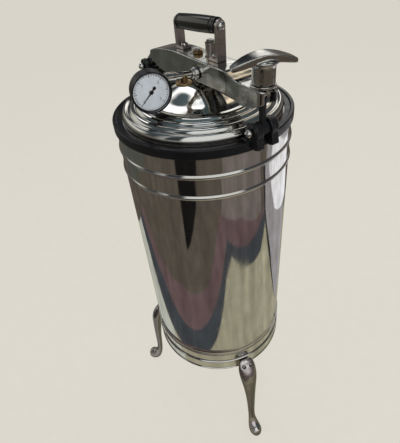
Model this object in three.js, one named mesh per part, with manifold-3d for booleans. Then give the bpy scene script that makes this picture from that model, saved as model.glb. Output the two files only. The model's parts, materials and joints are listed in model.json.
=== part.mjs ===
// An upright autoclave: a polished drum on three cast legs, closed by a lid that hangs from a hinged
// bridge. A swing bolt and a wing nut at the front pull the bridge down.
// Millimetres, +Z up. Every shape is drawn about the drum's axis, with the floor at zero. The bridge
// runs along Y: its hinge is at +Y and its swing bolt at -Y. The whole is then set down with its origin
// on the floor, under the middle of its box.

import * as THREE from 'three';
import { mergeVertices } from 'three/addons/utils/BufferGeometryUtils.js';
import Module from 'manifold-3d';

const wasm = await Module();
wasm.setup();

// Driving dimensions
const DRUM_R = 160; // outside radius of the drum
const DRUM_FOOT_Z = 256; // floor to the lower edge of the drum
const DRUM_HEIGHT = 624; // lower edge of the drum to the underside of the collar
const SHEET = 1.5; // thickness of the drum's sheet
const CHAMBER_R = 128; // inside radius of the pressure chamber
const CHAMBER_WALL = 3;
const COLLAR_HEIGHT = 14.4;
const LID_R = 145.4;
const LID_RISE = 51; // rim of the lid to its crown
const BRIDGE_WIDTH = 44.8;
const BRIDGE_TOP_Z = 985.6;
const HINGE_Y = 176;
const HINGE_Z = 931;
const BOLT_Y = -164; // axis of the swing bolt, and of its pivot pin
const BOLT_PIVOT_Z = 910;
const PAD_Z = 974.4; // top of the bridge where the wing nut bears
const HANDLE_Z = 1031.8; // axis of the carrying handle, above the drum's axis
const HANDLE_SLOPE = -4.56; // degrees: the handle rises to the front
const GAUGE_R = 32.5; // outside radius of the pressure gauge
const GAUGE_AT = { x: -105.9, y: -19.1, z: 956.5 }; // middle of the gauge's case
const GAUGE_TURN = -13.3; // degrees the upright dial is turned from facing -Y
const LEG_AZIMUTHS = { front: -102, right: 18, rear: 136 }; // degrees from +X
const BOX_MIDDLE = { x: 26.92, y: -27.54 }; // middle of the whole box, from the drum's axis
const GAP = 0.3; // space between pieces that bear on each other
const ROUND = 40; // sides of a large turned piece
const FINE = 16; // sides of a small turned piece

// Heights that follow from them
const COLLAR_Z = DRUM_FOOT_Z + DRUM_HEIGHT;
const MOUTH_Z = COLLAR_Z + COLLAR_HEIGHT;
const LID_Z = MOUTH_Z - 1.4;
const LID_TOP_Z = LID_Z + LID_RISE;
const SKIRT_TOP_Z = DRUM_FOOT_Z + 0.23 * DRUM_R;

const FINISHES = {
  polished: { color: 0xc9c7c3, roughness: 0.08, metalness: 1 },
  satin: { color: 0xa9a2a0, roughness: 0.35, metalness: 1 },
  steel: { color: 0x9c9c9a, roughness: 0.4, metalness: 1 },
  bronze: { color: 0xb58a4a, roughness: 0.3, metalness: 1 },
  cast: { color: 0x17171a, roughness: 0.7, metalness: 0.3 },
  blackened: { color: 0x1b1b1e, roughness: 0.45, metalness: 0.8 },
  bakelite: { color: 0x0c0c0d, roughness: 0.15, metalness: 0 },
  rubber: { color: 0x1c1a18, roughness: 0.8, metalness: 0 },
  enamel: { color: 0xe9edf2, roughness: 0.4, metalness: 0 },
  glass: { color: 0xf4f8fa, roughness: 0.02, metalness: 0 },
};

// ---- Solids ----------------------------------------------------------------------------------

// Welds a geometry's corners and drops the faces that have no area.
function weld(geometry) {
  const bare = geometry.clone();
  bare.deleteAttribute('normal');
  bare.deleteAttribute('uv');
  const merged = mergeVertices(bare, 1e-4);
  const kept = [];
  const index = merged.index.array;
  for (let i = 0; i < index.length; i += 3) {
    const [a, b, c] = [index[i], index[i + 1], index[i + 2]];
    if (a !== b && b !== c && c !== a) kept.push(a, b, c);
  }
  merged.setIndex(kept);
  return merged;
}

function toSolid(geometry) {
  const merged = weld(geometry);
  return new wasm.Manifold(new wasm.Mesh({
    numProp: 3,
    vertProperties: new Float32Array(merged.attributes.position.array),
    triVerts: new Uint32Array(merged.index.array),
  }));
}

function toGeometry(solid) {
  const mesh = solid.getMesh();
  const geometry = new THREE.BufferGeometry();
  geometry.setAttribute('position', new THREE.BufferAttribute(mesh.vertProperties, 3));
  geometry.setIndex(new THREE.BufferAttribute(mesh.triVerts, 1));
  return geometry;
}

function join(...geometries) {
  return toGeometry(geometries.map(toSolid).reduce((whole, piece) => whole.add(piece)));
}

function cut(geometry, ...cutters) {
  return toGeometry(cutters.map(toSolid).reduce((whole, piece) => whole.subtract(piece), toSolid(geometry)));
}

function common(a, b) {
  return toGeometry(toSolid(a).intersect(toSolid(b)));
}

// ---- Shapes ----------------------------------------------------------------------------------

// A solid turned about Z from [radius, height] points that run anticlockwise round the section.
function turned(points, sides = FINE) {
  const profile = points.map(([r, z]) => new THREE.Vector2(r, z));
  if (points[0][0] > 0) profile.push(profile[0].clone());
  return new THREE.LatheGeometry(profile, sides).rotateX(Math.PI / 2);
}

// A ring of rectangular section, or a disc where the inner radius is zero.
function ring(inner, outer, low, high, sides = FINE) {
  return turned([[inner, low], [outer, low], [outer, high], [inner, high]], sides);
}

// Points of an arc in degrees, both ends included.
function arc(centreX, centreY, radius, from, to, steps) {
  return Array.from({ length: steps + 1 }, (_, i) => {
    const angle = THREE.MathUtils.degToRad(from + ((to - from) * i) / steps);
    return [centreX + radius * Math.cos(angle), centreY + radius * Math.sin(angle)];
  });
}

// A round bar about Z between two heights.
function bar(radius, low, high, sides = FINE) {
  return new THREE.CylinderGeometry(radius, radius, high - low, sides)
    .rotateX(Math.PI / 2)
    .translate(0, 0, (low + high) / 2);
}

// The same along X, and along Y, on an axis through a point.
function barX(radius, low, high, y, z, sides = FINE) {
  return bar(radius, low, high, sides).rotateY(Math.PI / 2).translate(0, y, z);
}

function barY(radius, low, high, x, z, sides = FINE) {
  return bar(radius, low, high, sides).rotateX(-Math.PI / 2).translate(x, 0, z);
}

// A round bar between two points.
function barBetween(from, to, radius, sides = FINE) {
  const along = to.clone().sub(from);
  const up = new THREE.Vector3(0, 0, 1);
  const turn = new THREE.Quaternion().setFromUnitVectors(up, along.clone().normalize());
  return bar(radius, 0, along.length(), sides).applyQuaternion(turn).translate(from.x, from.y, from.z);
}

function block(xLow, xHigh, yLow, yHigh, zLow, zHigh) {
  return new THREE.BoxGeometry(xHigh - xLow, yHigh - yLow, zHigh - zLow)
    .translate((xLow + xHigh) / 2, (yLow + yHigh) / 2, (zLow + zHigh) / 2);
}

function outline(points) {
  return new THREE.Shape(points.map(([u, v]) => new THREE.Vector2(u, v)));
}

// A plate drawn in Y and Z, with its thickness along X from low to high.
function plateX(points, low, high) {
  const basis = new THREE.Matrix4().makeBasis(
    new THREE.Vector3(0, 1, 0), new THREE.Vector3(0, 0, 1), new THREE.Vector3(1, 0, 0));
  return new THREE.ExtrudeGeometry(outline(points), { depth: high - low, bevelEnabled: false })
    .applyMatrix4(basis)
    .translate(low, 0, 0);
}

// A plate drawn in X and Y, with its thickness along Z.
function plateZ(points, low, high) {
  return new THREE.ExtrudeGeometry(outline(points), { depth: high - low, bevelEnabled: false })
    .translate(0, 0, low);
}

// A round wire along a curve.
function wire(curve, radius, steps, sides = 8) {
  const section = outline(arc(0, 0, radius, 0, 360 - 360 / sides, sides - 1));
  return new THREE.ExtrudeGeometry(section, { steps, extrudePath: curve, bevelEnabled: false });
}

// Smooth outline through a few points.
function smooth(points, steps) {
  const curve = new THREE.SplineCurve(points.map(([u, v]) => new THREE.Vector2(u, v)));
  return curve.getPoints(steps).map((p) => [p.x, p.y]);
}

// A closed skin through rings of points, each ring with the same number of points, capped at both ends.
function skin(rings) {
  const sides = rings[0].length;
  const positions = rings.flat().flatMap((p) => p.toArray());
  const index = [];
  for (let row = 0; row < rings.length - 1; row += 1) {
    for (let i = 0; i < sides; i += 1) {
      const a = row * sides + i;
      const b = row * sides + ((i + 1) % sides);
      index.push(a, a + sides, b, b, a + sides, b + sides);
    }
  }
  const last = (rings.length - 1) * sides;
  for (let i = 1; i < sides - 1; i += 1) {
    index.push(0, i, i + 1, last, last + i + 1, last + i);
  }
  const geometry = new THREE.BufferGeometry();
  geometry.setAttribute('position', new THREE.Float32BufferAttribute(positions, 3));
  geometry.setIndex(index);
  return geometry;
}

// ---- The tree of pieces ------------------------------------------------------------------------

const autoclave = new THREE.Group();

function addPiece(parent, name, geometry, finish) {
  const mesh = new THREE.Mesh(geometry, new THREE.MeshStandardMaterial(FINISHES[finish]));
  mesh.name = name;
  parent.add(mesh);
  return mesh;
}

// ---- Drum --------------------------------------------------------------------------------------

// A rolled bead on the outside of a sheet, from its lower edge up.
function bead(radius, z, proud, halfHeight) {
  return [[radius, z - halfHeight], [radius + proud, z - 0.4 * halfHeight],
    [radius + proud, z + 0.4 * halfHeight], [radius, z + halfHeight]];
}

function outerJacket() {
  const low = SKIRT_TOP_Z + GAP;
  const high = COLLAR_Z - GAP;
  const stepR = DRUM_R + 1;
  const inner = DRUM_R - SHEET;
  return turned([
    [inner, low], [stepR, low],
    ...bead(stepR, DRUM_FOOT_Z + 0.4 * DRUM_R, 1.8, 4),
    ...bead(stepR, DRUM_FOOT_Z + 0.475 * DRUM_R, 1.6, 4),
    [DRUM_R, DRUM_FOOT_Z + 0.52 * DRUM_R],
    ...bead(DRUM_R, DRUM_FOOT_Z + 3.419 * DRUM_R, 2.6, 5),
    ...bead(DRUM_R, DRUM_FOOT_Z + 3.672 * DRUM_R, 2.6, 5),
    [DRUM_R, high], [inner, high],
  ], ROUND);
}

const SKIRT_OUTER_R = DRUM_R + 2.6;
const SKIRT_INNER_R = DRUM_R - 2;
const LEG_SEAT_R = SKIRT_OUTER_R + 1.8; // inner face of each leg's pad
const LEG_SCREW_Z = DRUM_FOOT_Z + 20;
const LEG_SCREW_SPREAD = 9;
const LEG_SCREW_R = 2.5;

const LEG_SCREW_SEAT_X = LEG_SEAT_R + 14;
const LEG_SCREW_HEAD_R = 4.6;

// A counterbored screw hole along a leg's azimuth, drawn for a leg that points along +X.
function legScrewHole(side) {
  const y = side * LEG_SCREW_SPREAD;
  return join(
    barX(LEG_SCREW_R + GAP, SKIRT_INNER_R - 15, LEG_SEAT_R + 40, y, LEG_SCREW_Z, 8),
    barX(LEG_SCREW_HEAD_R + GAP, LEG_SCREW_SEAT_X - GAP, LEG_SEAT_R + 40, y, LEG_SCREW_Z, 12));
}

function baseSkirt() {
  const shell = turned([
    [SKIRT_INNER_R, DRUM_FOOT_Z], [SKIRT_OUTER_R, DRUM_FOOT_Z],
    [SKIRT_OUTER_R + 1.4, DRUM_FOOT_Z + 2.5], [SKIRT_OUTER_R, DRUM_FOOT_Z + 5],
    [SKIRT_OUTER_R, SKIRT_TOP_Z - 5], [SKIRT_OUTER_R + 1.4, SKIRT_TOP_Z - 2.5],
    [SKIRT_OUTER_R, SKIRT_TOP_Z], [SKIRT_INNER_R, SKIRT_TOP_Z],
  ], ROUND);
  const holes = Object.values(LEG_AZIMUTHS).flatMap((azimuth) => [-1, 1].map((side) => (
    legScrewHole(side).rotateZ(THREE.MathUtils.degToRad(azimuth)))));
  return cut(shell, ...holes);
}

// Stiffening ring in the foot of the drum, open in the middle for the burner's flame.
function flameRing() {
  const outer = SKIRT_INNER_R - GAP;
  const low = DRUM_FOOT_Z + 8;
  return turned([
    [95, low + 6], [100, low], [outer, low], [outer, low + 2.5], [101, low + 2.5], [97, low + 6],
  ], ROUND);
}

const CHAMBER_FLOOR_Z = DRUM_FOOT_Z + 40;
const CHAMBER_DISH = 26; // depth of the dished floor
const FLANGE_R = CHAMBER_R + 19;
const FLANGE_Z = COLLAR_Z + 4 + GAP;
const FLANGE_THICKNESS = 5;

// Half of a dished floor, from the axis out to the wall.
function dish(radius, floorZ) {
  return Array.from({ length: 7 }, (_, i) => {
    const angle = (Math.PI / 2) * (i / 6);
    return [radius * Math.sin(angle), floorZ + CHAMBER_DISH * (1 - Math.cos(angle))];
  });
}

function pressureChamber() {
  const outer = CHAMBER_R + CHAMBER_WALL;
  return turned([
    ...dish(outer, CHAMBER_FLOOR_Z - CHAMBER_WALL),
    [outer, FLANGE_Z], [FLANGE_R, FLANGE_Z],
    [FLANGE_R, FLANGE_Z + FLANGE_THICKNESS], [CHAMBER_R, FLANGE_Z + FLANGE_THICKNESS],
    ...dish(CHAMBER_R, CHAMBER_FLOOR_Z).reverse(),
  ], ROUND);
}

const COLLAR_R = DRUM_R + 3.8;

function collarRing() {
  return turned([
    [DRUM_R + 2 * GAP, COLLAR_Z - 1.5], [COLLAR_R, COLLAR_Z - 1.5],
    [COLLAR_R, MOUTH_Z - 1.4], [COLLAR_R - 1, MOUTH_Z],
    [DRUM_R - 2.5, MOUTH_Z], [DRUM_R - 3.5, MOUTH_Z - 2.4],
    [FLANGE_R + GAP, MOUTH_Z - 2.4], [FLANGE_R + GAP, COLLAR_Z + 4],
    [FLANGE_R - 8, COLLAR_Z + 4], [FLANGE_R - 8, COLLAR_Z],
    [DRUM_R + 2 * GAP, COLLAR_Z],
  ], ROUND);
}

function lidGasket() {
  const low = FLANGE_Z + FLANGE_THICKNESS + GAP;
  const high = LID_Z - GAP;
  return turned([
    [131, low], [143, low], [144, low + 1], [144, high - 1],
    [143, high], [131, high], [130, high - 1], [130, low + 1],
  ], ROUND);
}

// ---- Legs --------------------------------------------------------------------------------------

// A cast leg that points along +X: stations of a bent spine, each with its half thickness in the
// bend's plane and its half width across it.
const LEG_STATIONS = [
  // distance from the drum's axis, height, half thickness, half width
  [169, 288, 3, 11],
  [170, 285, 5.5, 16],
  [173, 275, 8.5, 20.5],
  [178, 262, 12, 22.5],
  [184, 246, 15, 22.5],
  [188.5, 230, 15, 21],
  [192, 211, 13.5, 18.5],
  [195.5, 186, 12, 15.5],
  [199, 155, 10.2, 12.8],
  [202, 120, 8.8, 10.8],
  [204, 88, 8, 9.6],
  [206.5, 62, 7.8, 9.2],
  [210, 43, 9, 10.2],
  [217, 27, 13, 13.5],
  [227, 15, 19.5, 16.5],
  [237, 12, 18.5, 15.8],
  [245, 10.5, 13, 11],
  [248.5, 10.5, 5, 4.5],
];
const LEG_SIDES = 12;
const FOOT_HEIGHT = 0; // the floor

function legShape() {
  const spine = LEG_STATIONS.map(([x, z]) => new THREE.Vector2(x, z));
  const rings = LEG_STATIONS.map(([, , halfThickness, halfWidth], i) => {
    const before = spine[Math.max(i - 1, 0)];
    const after = spine[Math.min(i + 1, spine.length - 1)];
    const along = after.clone().sub(before).normalize();
    const outward = new THREE.Vector2(-along.y, along.x);
    return Array.from({ length: LEG_SIDES }, (_, side) => {
      const angle = (2 * Math.PI * side) / LEG_SIDES;
      const reach = halfThickness * Math.cos(angle);
      const x = spine[i].x + outward.x * reach;
      const z = spine[i].y + outward.y * reach;
      const seatX = z > DRUM_FOOT_Z - 6 ? Math.max(x, LEG_SEAT_R) : x;
      return new THREE.Vector3(seatX, halfWidth * Math.sin(angle), Math.max(z, FOOT_HEIGHT));
    });
  });
  return skin(rings);
}

function legScrew(side) {
  const head = LEG_SCREW_HEAD_R;
  return turned([
    [0, -20], [LEG_SCREW_R, -20], [LEG_SCREW_R, 0], [head, 0], [head, 2], [0.6 * head, 3.4], [0, 3.8],
  ], 10).rotateY(Math.PI / 2).translate(LEG_SCREW_SEAT_X, side * LEG_SCREW_SPREAD, LEG_SCREW_Z);
}

function addLeg(name, azimuth) {
  const group = new THREE.Group();
  group.rotation.z = THREE.MathUtils.degToRad(azimuth);
  autoclave.add(group);
  addPiece(group, `leg_${name}`, cut(legShape(), legScrewHole(-1), legScrewHole(1)), 'polished');
  addPiece(group, `leg_${name}_screw_left`, legScrew(1), 'steel');
  addPiece(group, `leg_${name}_screw_right`, legScrew(-1), 'steel');
}

// ---- Inside the chamber ------------------------------------------------------------------------

const TRIVET_Z = CHAMBER_FLOOR_Z + 46;
const BASKET_R = 115;
const BASKET_HEIGHT = 347;
const BAIL_Z = TRIVET_Z + BASKET_HEIGHT - 5;

// Copies of a shape evenly round the axis.
function around(count, make) {
  return Array.from({ length: count }, (_, i) => make().rotateZ((2 * Math.PI * i) / count));
}

function trivet() {
  const plate = ring(0, 123, TRIVET_Z, TRIVET_Z + 2, 36);
  const feet = around(3, () => bar(4, CHAMBER_FLOOR_Z + 9, TRIVET_Z + 1, 8).translate(90, 0, 0));
  const holes = around(6, () => bar(8, TRIVET_Z - 1, TRIVET_Z + 3, 6).translate(0, 70, 0));
  return cut(join(plate, ...feet), ...holes);
}

function basket() {
  const low = TRIVET_Z + 2 + GAP;
  const high = low + BASKET_HEIGHT;
  const wall = 1.2;
  const can = turned([
    [0, low], [BASKET_R, low], [BASKET_R, high - 4], [BASKET_R + 1.8, high - 3], [BASKET_R + 1.8, high - 1],
    [BASKET_R, high], [BASKET_R - wall, high], [BASKET_R - wall, low + wall], [0, low + wall],
  ], 36);
  const vents = [100, 240].flatMap((rise) => (
    around(6, () => barX(9, BASKET_R - 10, BASKET_R + 10, 0, low + rise, 6))));
  const drains = around(4, () => bar(6, low - 1, low + 3, 6).translate(0, 60, 0));
  return cut(can, ...vents, ...drains);
}

// The basket's wire handle, lying flat inside its rim. It turns about an axis along X.
function basketBail() {
  const radius = BASKET_R - 6;
  const curve = new THREE.CatmullRomCurve3(
    arc(0, 0, radius, 0, 180, 12).map(([x, y]) => new THREE.Vector3(x, y, BAIL_Z)));
  return wire(curve, 2.4, 16, 6);
}

// ---- Hinge and bolt lug ------------------------------------------------------------------------

const PIN_R = 5;
const KNUCKLE_R = 12;
const KNUCKLE_HALF = 13;
const SEAT_Z = MOUTH_Z + GAP; // underside of what stands on the collar
const CUT_LOW_Z = 900; // cutters that go right through the closure run from here
const CUT_HIGH_Z = 1000; // to here
const LUG_INNER_Y = LID_R + 3.2; // clear of the lid as it lifts
const LUG_OUTER_Y = COLLAR_R + GAP; // clear of the collar's outer face
const HINGE_TOE = 28; // how far the hinge's ears hang below the seat
const BOLT_TOE = 13;

// An ear drawn in Y and Z: round about the pin, straight down to the collar, and with a toe that hangs
// outside it.
function ear(pinY, pinZ, radius, outward, toe) {
  const points = [
    [outward * LUG_INNER_Y, SEAT_Z], [outward * LUG_OUTER_Y, SEAT_Z],
    [outward * LUG_OUTER_Y, SEAT_Z - 0.86 * toe], [outward * (LUG_OUTER_Y + 7), SEAT_Z - toe],
    [outward * (LUG_OUTER_Y + 17), SEAT_Z - 0.72 * toe],
  ];
  const top = arc(0, 0, radius, -25, 165, 10).map(([u, v]) => [pinY + outward * u, pinZ + v]);
  return [...points, ...top];
}

function hingeBracket() {
  const outlinePoints = ear(HINGE_Y, HINGE_Z, 13, 1, HINGE_TOE);
  const ears = [-1, 1].map((side) => {
    const [near, far] = [KNUCKLE_HALF + 0.6, KNUCKLE_HALF + 9];
    return side > 0 ? plateX(outlinePoints, near, far) : plateX(outlinePoints, -far, -near);
  });
  const foot = block(-26, 26, LUG_INNER_Y, LUG_OUTER_Y + 1, SEAT_Z, SEAT_Z + 4.5);
  const web = block(-18, 18, LUG_OUTER_Y, HINGE_Y + 10, SEAT_Z - 18, HINGE_Z - KNUCKLE_R - 2);
  return cut(join(...ears, foot, web), barX(PIN_R + GAP, -40, 40, HINGE_Y, HINGE_Z));
}

// A pin along X with a ball on each end.
function ballPin(halfLength, ballR, y, z) {
  const balls = [-1, 1].map((side) => (
    new THREE.SphereGeometry(ballR, 12, 7).translate(side * (halfLength + 0.6 * ballR), y, z)));
  return join(barX(PIN_R, -halfLength - 1, halfLength + 1, y, z), ...balls);
}

const EYE_HALF = 7;
const EYE_R = 11;

function boltLug() {
  const outlinePoints = ear(BOLT_Y, BOLT_PIVOT_Z, 15, -1, BOLT_TOE);
  const ears = [-1, 1].map((side) => {
    const [near, far] = [EYE_HALF + 0.8, EYE_HALF + 14];
    return side > 0 ? plateX(outlinePoints, near, far) : plateX(outlinePoints, -far, -near);
  });
  const foot = block(-29, 29, -LUG_OUTER_Y + 2, -LUG_INNER_Y, SEAT_Z, BOLT_PIVOT_Z - EYE_R - GAP);
  const web = block(-18, 18, BOLT_Y + EYE_R + 1, -LUG_INNER_Y, SEAT_Z, BOLT_PIVOT_Z + 6);
  return cut(join(...ears, foot, web), barX(PIN_R + GAP, -40, 40, BOLT_Y, BOLT_PIVOT_Z));
}

// ---- Lid ---------------------------------------------------------------------------------------

// Upper surface of the lid from its rim in to its crown, as [radius, height above the rim's underside].
const LID_SURFACE = [
  [LID_R, 0], [LID_R, 11], [143.5, 14], [138, 14.6], [135.4, 12.2], [131.5, 12],
  [128, 17], [122, 18.2], [119.5, 16.6], [115, 21.2], [110, 22.1], [107, 20.4], [103, 24], [94, 25.2],
  [90, 23.6], [72, 29.6], [44, 43.6], [24, 50.2], [0, LID_RISE],
];

// The same surface as a full solid, for trimming what stands on the lid.
function lidBlank(lift) {
  const surface = LID_SURFACE.map(([r, z]) => [r, LID_Z + z + lift]);
  return turned([[0, LID_Z], [LID_R, LID_Z], ...surface.slice(1)], ROUND);
}

const RELIEF = { x: 7, y: -28 };
const STEAM_PORT_R = 3;

function lid() {
  const upper = LID_SURFACE.map(([r, z]) => [r, LID_Z + z]);
  const lower = [
    [0, 46.5], [24, 45.5], [60, 31.4], [74, 24], [90, 19], [118, 11], [129.5, 0],
  ].map(([r, z]) => [r, LID_Z + z]);
  const shell = turned([...lower, ...upper], ROUND);
  return cut(shell, bar(STEAM_PORT_R, LID_Z, LID_TOP_Z + 10, 12).translate(RELIEF.x, RELIEF.y, 0));
}

// ---- Bridge ------------------------------------------------------------------------------------

const BRIDGE_HALF = BRIDGE_WIDTH / 2;
const FLANK = 7; // thickness of the bridge's sides and of its top plate
const POSTS = { front: -65, rear: 54 }; // Y of each handle post
const POST_SCREW_Y = { front: -52, rear: 41 };
const STUD_R = 5;
const SLOT_HALF = 7;
const NOSE_HALF = 17.5; // half width of the bridge's nose
const NOSE_END_Y = -180.5;
const NOSE_CORNER_R = 9;

function bridgeBody() {
  const top = smooth([
    [138, 962], [133, 970.5], [110, 977], [80, 982.5], [45, BRIDGE_TOP_Z], [0, BRIDGE_TOP_Z],
    [-60, BRIDGE_TOP_Z], [-98, BRIDGE_TOP_Z], [-110, 982], [-122, 976.4], [-134, PAD_Z],
  ], 30);
  const nose = [[-172, PAD_Z], [-184, PAD_Z - 3.2], [-185, 957]];
  const underside = smooth([
    [-181, 955], [-160, 945], [-140, 941.6], [-118, 947], [-80, 950.4], [0, 950.4], [40, 945],
    [80, 939.5], [112, 945], [132, 952],
  ], 24);
  const side = plateX([...top, ...nose, ...underside].reverse(), -BRIDGE_HALF, BRIDGE_HALF);
  const inner = BRIDGE_HALF - FLANK;
  const noseInner = NOSE_HALF - FLANK;
  const channel = block(-inner, inner, -106, 88, CUT_LOW_Z, BRIDGE_TOP_Z - FLANK - 1.5);
  const pocket = block(-noseInner, noseInner, -200, -105, CUT_LOW_Z, PAD_Z - FLANK);
  return cut(common(side, bridgePlan()), channel, pocket);
}

// The bridge seen from above: parallel sides that draw in to a rounded nose.
function bridgePlan() {
  const half = [[BRIDGE_HALF, -104], [BRIDGE_HALF - 1.8, -118], [NOSE_HALF + 0.8, -134], [NOSE_HALF, -150]];
  const cornerX = NOSE_HALF - NOSE_CORNER_R;
  const cornerY = NOSE_END_Y + NOSE_CORNER_R;
  return plateZ([
    [-BRIDGE_HALF, 200], ...half.map(([x, y]) => [-x, y]),
    ...arc(-cornerX, cornerY, NOSE_CORNER_R, 180, 270, 4),
    ...arc(cornerX, cornerY, NOSE_CORNER_R, 270, 360, 4),
    ...half.reverse(), [BRIDGE_HALF, 200],
  ], CUT_LOW_Z, CUT_HIGH_Z);
}

function bridge() {
  const tongueTop = smooth([[118, 974], [134, 968.5], [152, 960.5], [170, 948], [182, 937]], 10);
  const tongueUnder = smooth([[172, 922], [160, 934], [145, 944], [118, 950]], 8);
  const tongue = plateX([...tongueTop, ...tongueUnder].reverse(), -KNUCKLE_HALF, KNUCKLE_HALF);
  const knuckle = barX(KNUCKLE_R, -KNUCKLE_HALF, KNUCKLE_HALF, HINGE_Y, HINGE_Z);
  const holes = [
    barX(PIN_R + GAP, -40, 40, HINGE_Y, HINGE_Z),
    bar(STUD_R + 0.5, CUT_LOW_Z, CUT_HIGH_Z),
    bar(RELIEF_R + 0.8, CUT_LOW_Z, CUT_HIGH_Z).translate(RELIEF.x, RELIEF.y, 0),
    barBetween(pipeAt(-12), pipeAt(-40), PIPE_R + 0.8),
    ...Object.values(POST_SCREW_Y).map((y) => bar(3 + GAP, CUT_LOW_Z, CUT_HIGH_Z, 12).translate(0, y, 0)),
  ];
  const slot = join(
    block(-SLOT_HALF, SLOT_HALF, -200, BOLT_Y, CUT_LOW_Z, CUT_HIGH_Z),
    bar(SLOT_HALF, CUT_LOW_Z, CUT_HIGH_Z).translate(0, BOLT_Y, 0));
  return cut(join(bridgeBody(), tongue, knuckle), ...holes, slot);
}

function lidStud() {
  const plateUnder = BRIDGE_TOP_Z - FLANK - 1.5;
  return turned([
    [0, LID_TOP_Z + GAP], [13, LID_TOP_Z + GAP], [13, LID_TOP_Z + 5], [STUD_R, LID_TOP_Z + 9],
    [STUD_R, plateUnder - 6], [12, plateUnder - 5], [12, plateUnder - GAP], [STUD_R, plateUnder - GAP],
    [STUD_R, BRIDGE_TOP_Z + 6.5], [STUD_R - 1.2, BRIDGE_TOP_Z + 7.5], [0, BRIDGE_TOP_Z + 7.5],
  ]);
}

function studNut() {
  const low = BRIDGE_TOP_Z + GAP;
  return cut(join(bar(9, low, low + 5.4, 6), bar(7.8, low, low + 6)), bar(STUD_R + GAP, low - 5, low + 20));
}

// ---- Carrying handle ---------------------------------------------------------------------------

const POST_HALF = 8.8;
const POST_THICKNESS = 5;
const ROD_R = 4;
const ROD_PLAY = 0.9; // room for the sloping rod's heads beside the upright posts

// Height of the sloping handle's axis at a place along the bridge.
function axisZ(y) {
  return HANDLE_Z + y * Math.tan(THREE.MathUtils.degToRad(HANDLE_SLOPE));
}

// Sets a shape drawn along Y on the handle's axis.
function onHandle(geometry) {
  return geometry.rotateX(THREE.MathUtils.degToRad(HANDLE_SLOPE)).translate(0, 0, HANDLE_Z);
}

function handlePost(end) {
  const y = POSTS[end];
  const inward = y < 0 ? 1 : -1;
  const low = BRIDGE_TOP_Z + GAP;
  const strap = [[-POST_HALF, low], [POST_HALF, low], ...arc(0, axisZ(y), POST_HALF, 0, 180, 10)];
  const upright = plateZ(strap, -POST_THICKNESS / 2, POST_THICKNESS / 2)
    .rotateX(Math.PI / 2)
    .translate(0, y, 0);
  const toe = y + inward * 21;
  const foot = block(-POST_HALF, POST_HALF, Math.min(y, toe), Math.max(y, toe), low, low + POST_THICKNESS);
  return cut(
    join(upright, foot),
    onHandle(barY(ROD_R + GAP, y - 20, y + 20, 0, 0)),
    bar(3 + GAP, low - 5, low + 20, 12).translate(0, POST_SCREW_Y[end], 0));
}

function postScrew(end) {
  const seat = BRIDGE_TOP_Z + GAP + POST_THICKNESS + GAP;
  return turned([
    [0, seat - 13], [3, seat - 13], [3, seat], [6.4, seat],
    [6.4, seat + 2.4], [4.6, seat + 4.2], [0, seat + 4.8],
  ], 16).translate(0, POST_SCREW_Y[end], 0);
}

function handleRod() {
  const low = POSTS.front - POST_THICKNESS / 2 - ROD_PLAY;
  const high = POSTS.rear + POST_THICKNESS / 2 + ROD_PLAY;
  const head = [[ROD_R - 1, -2], [6.2, 0], [6.2, 2], [4.6, 4], [0, 4.8]];
  const frontHead = head.map(([r, h]) => [r, low - h]).reverse();
  const rearHead = head.map(([r, h]) => [r, high + h]);
  const front = [...frontHead.slice(0, -1), [ROD_R, low]];
  const rear = [[ROD_R, high], ...rearHead.slice(1)];
  return onHandle(turned([...front, ...rear]).rotateX(-Math.PI / 2));
}

function handleGrip() {
  const inset = POST_THICKNESS / 2 + ROD_PLAY + 0.6;
  const [low, high] = [POSTS.front + inset, POSTS.rear - inset];
  const middle = (low + high) / 2;
  const half = (high - low) / 2;
  const end = [
    [10, half], [11.6, half - 1.2], [11.6, half - 6], [10.6, half - 7], [10.6, half - 9], [11.8, half - 10],
  ];
  const swell = [[12.4, 30], [12.6, 10]];
  const outer = [...end, ...swell];
  const lowHalf = outer.map(([r, h]) => [r, middle - h]);
  const highHalf = outer.map(([r, h]) => [r, middle + h]).reverse();
  const section = [[ROD_R + GAP, low], ...lowHalf, ...highHalf, [ROD_R + GAP, high]];
  return onHandle(turned(section).rotateX(-Math.PI / 2));
}

// ---- Closure -----------------------------------------------------------------------------------

const BOLT_R = 5.5;
const BARREL_R = 16.7;
const WASHER_R = 18.4;
const WASHER_Z = PAD_Z + GAP;
const WASHER_THICKNESS = 3.6;
const NUT_Z = WASHER_Z + WASHER_THICKNESS + GAP;
const NUT_TOP_Z = 1015;
const WING_TURN = -20; // degrees between the wings and the X axis at rest

function swingBolt() {
  const eye = cut(
    barX(EYE_R, -EYE_HALF, EYE_HALF, BOLT_Y, BOLT_PIVOT_Z),
    barX(PIN_R + GAP, -40, 40, BOLT_Y, BOLT_PIVOT_Z));
  const shank = bar(BOLT_R, BOLT_PIVOT_Z + EYE_R - 3, NUT_TOP_Z - 10).translate(0, BOLT_Y, 0);
  return join(eye, shank);
}

function thrustWasher() {
  return ring(BOLT_R + GAP + 0.2, WASHER_R, WASHER_Z, WASHER_Z + WASHER_THICKNESS).translate(0, BOLT_Y, 0);
}

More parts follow.
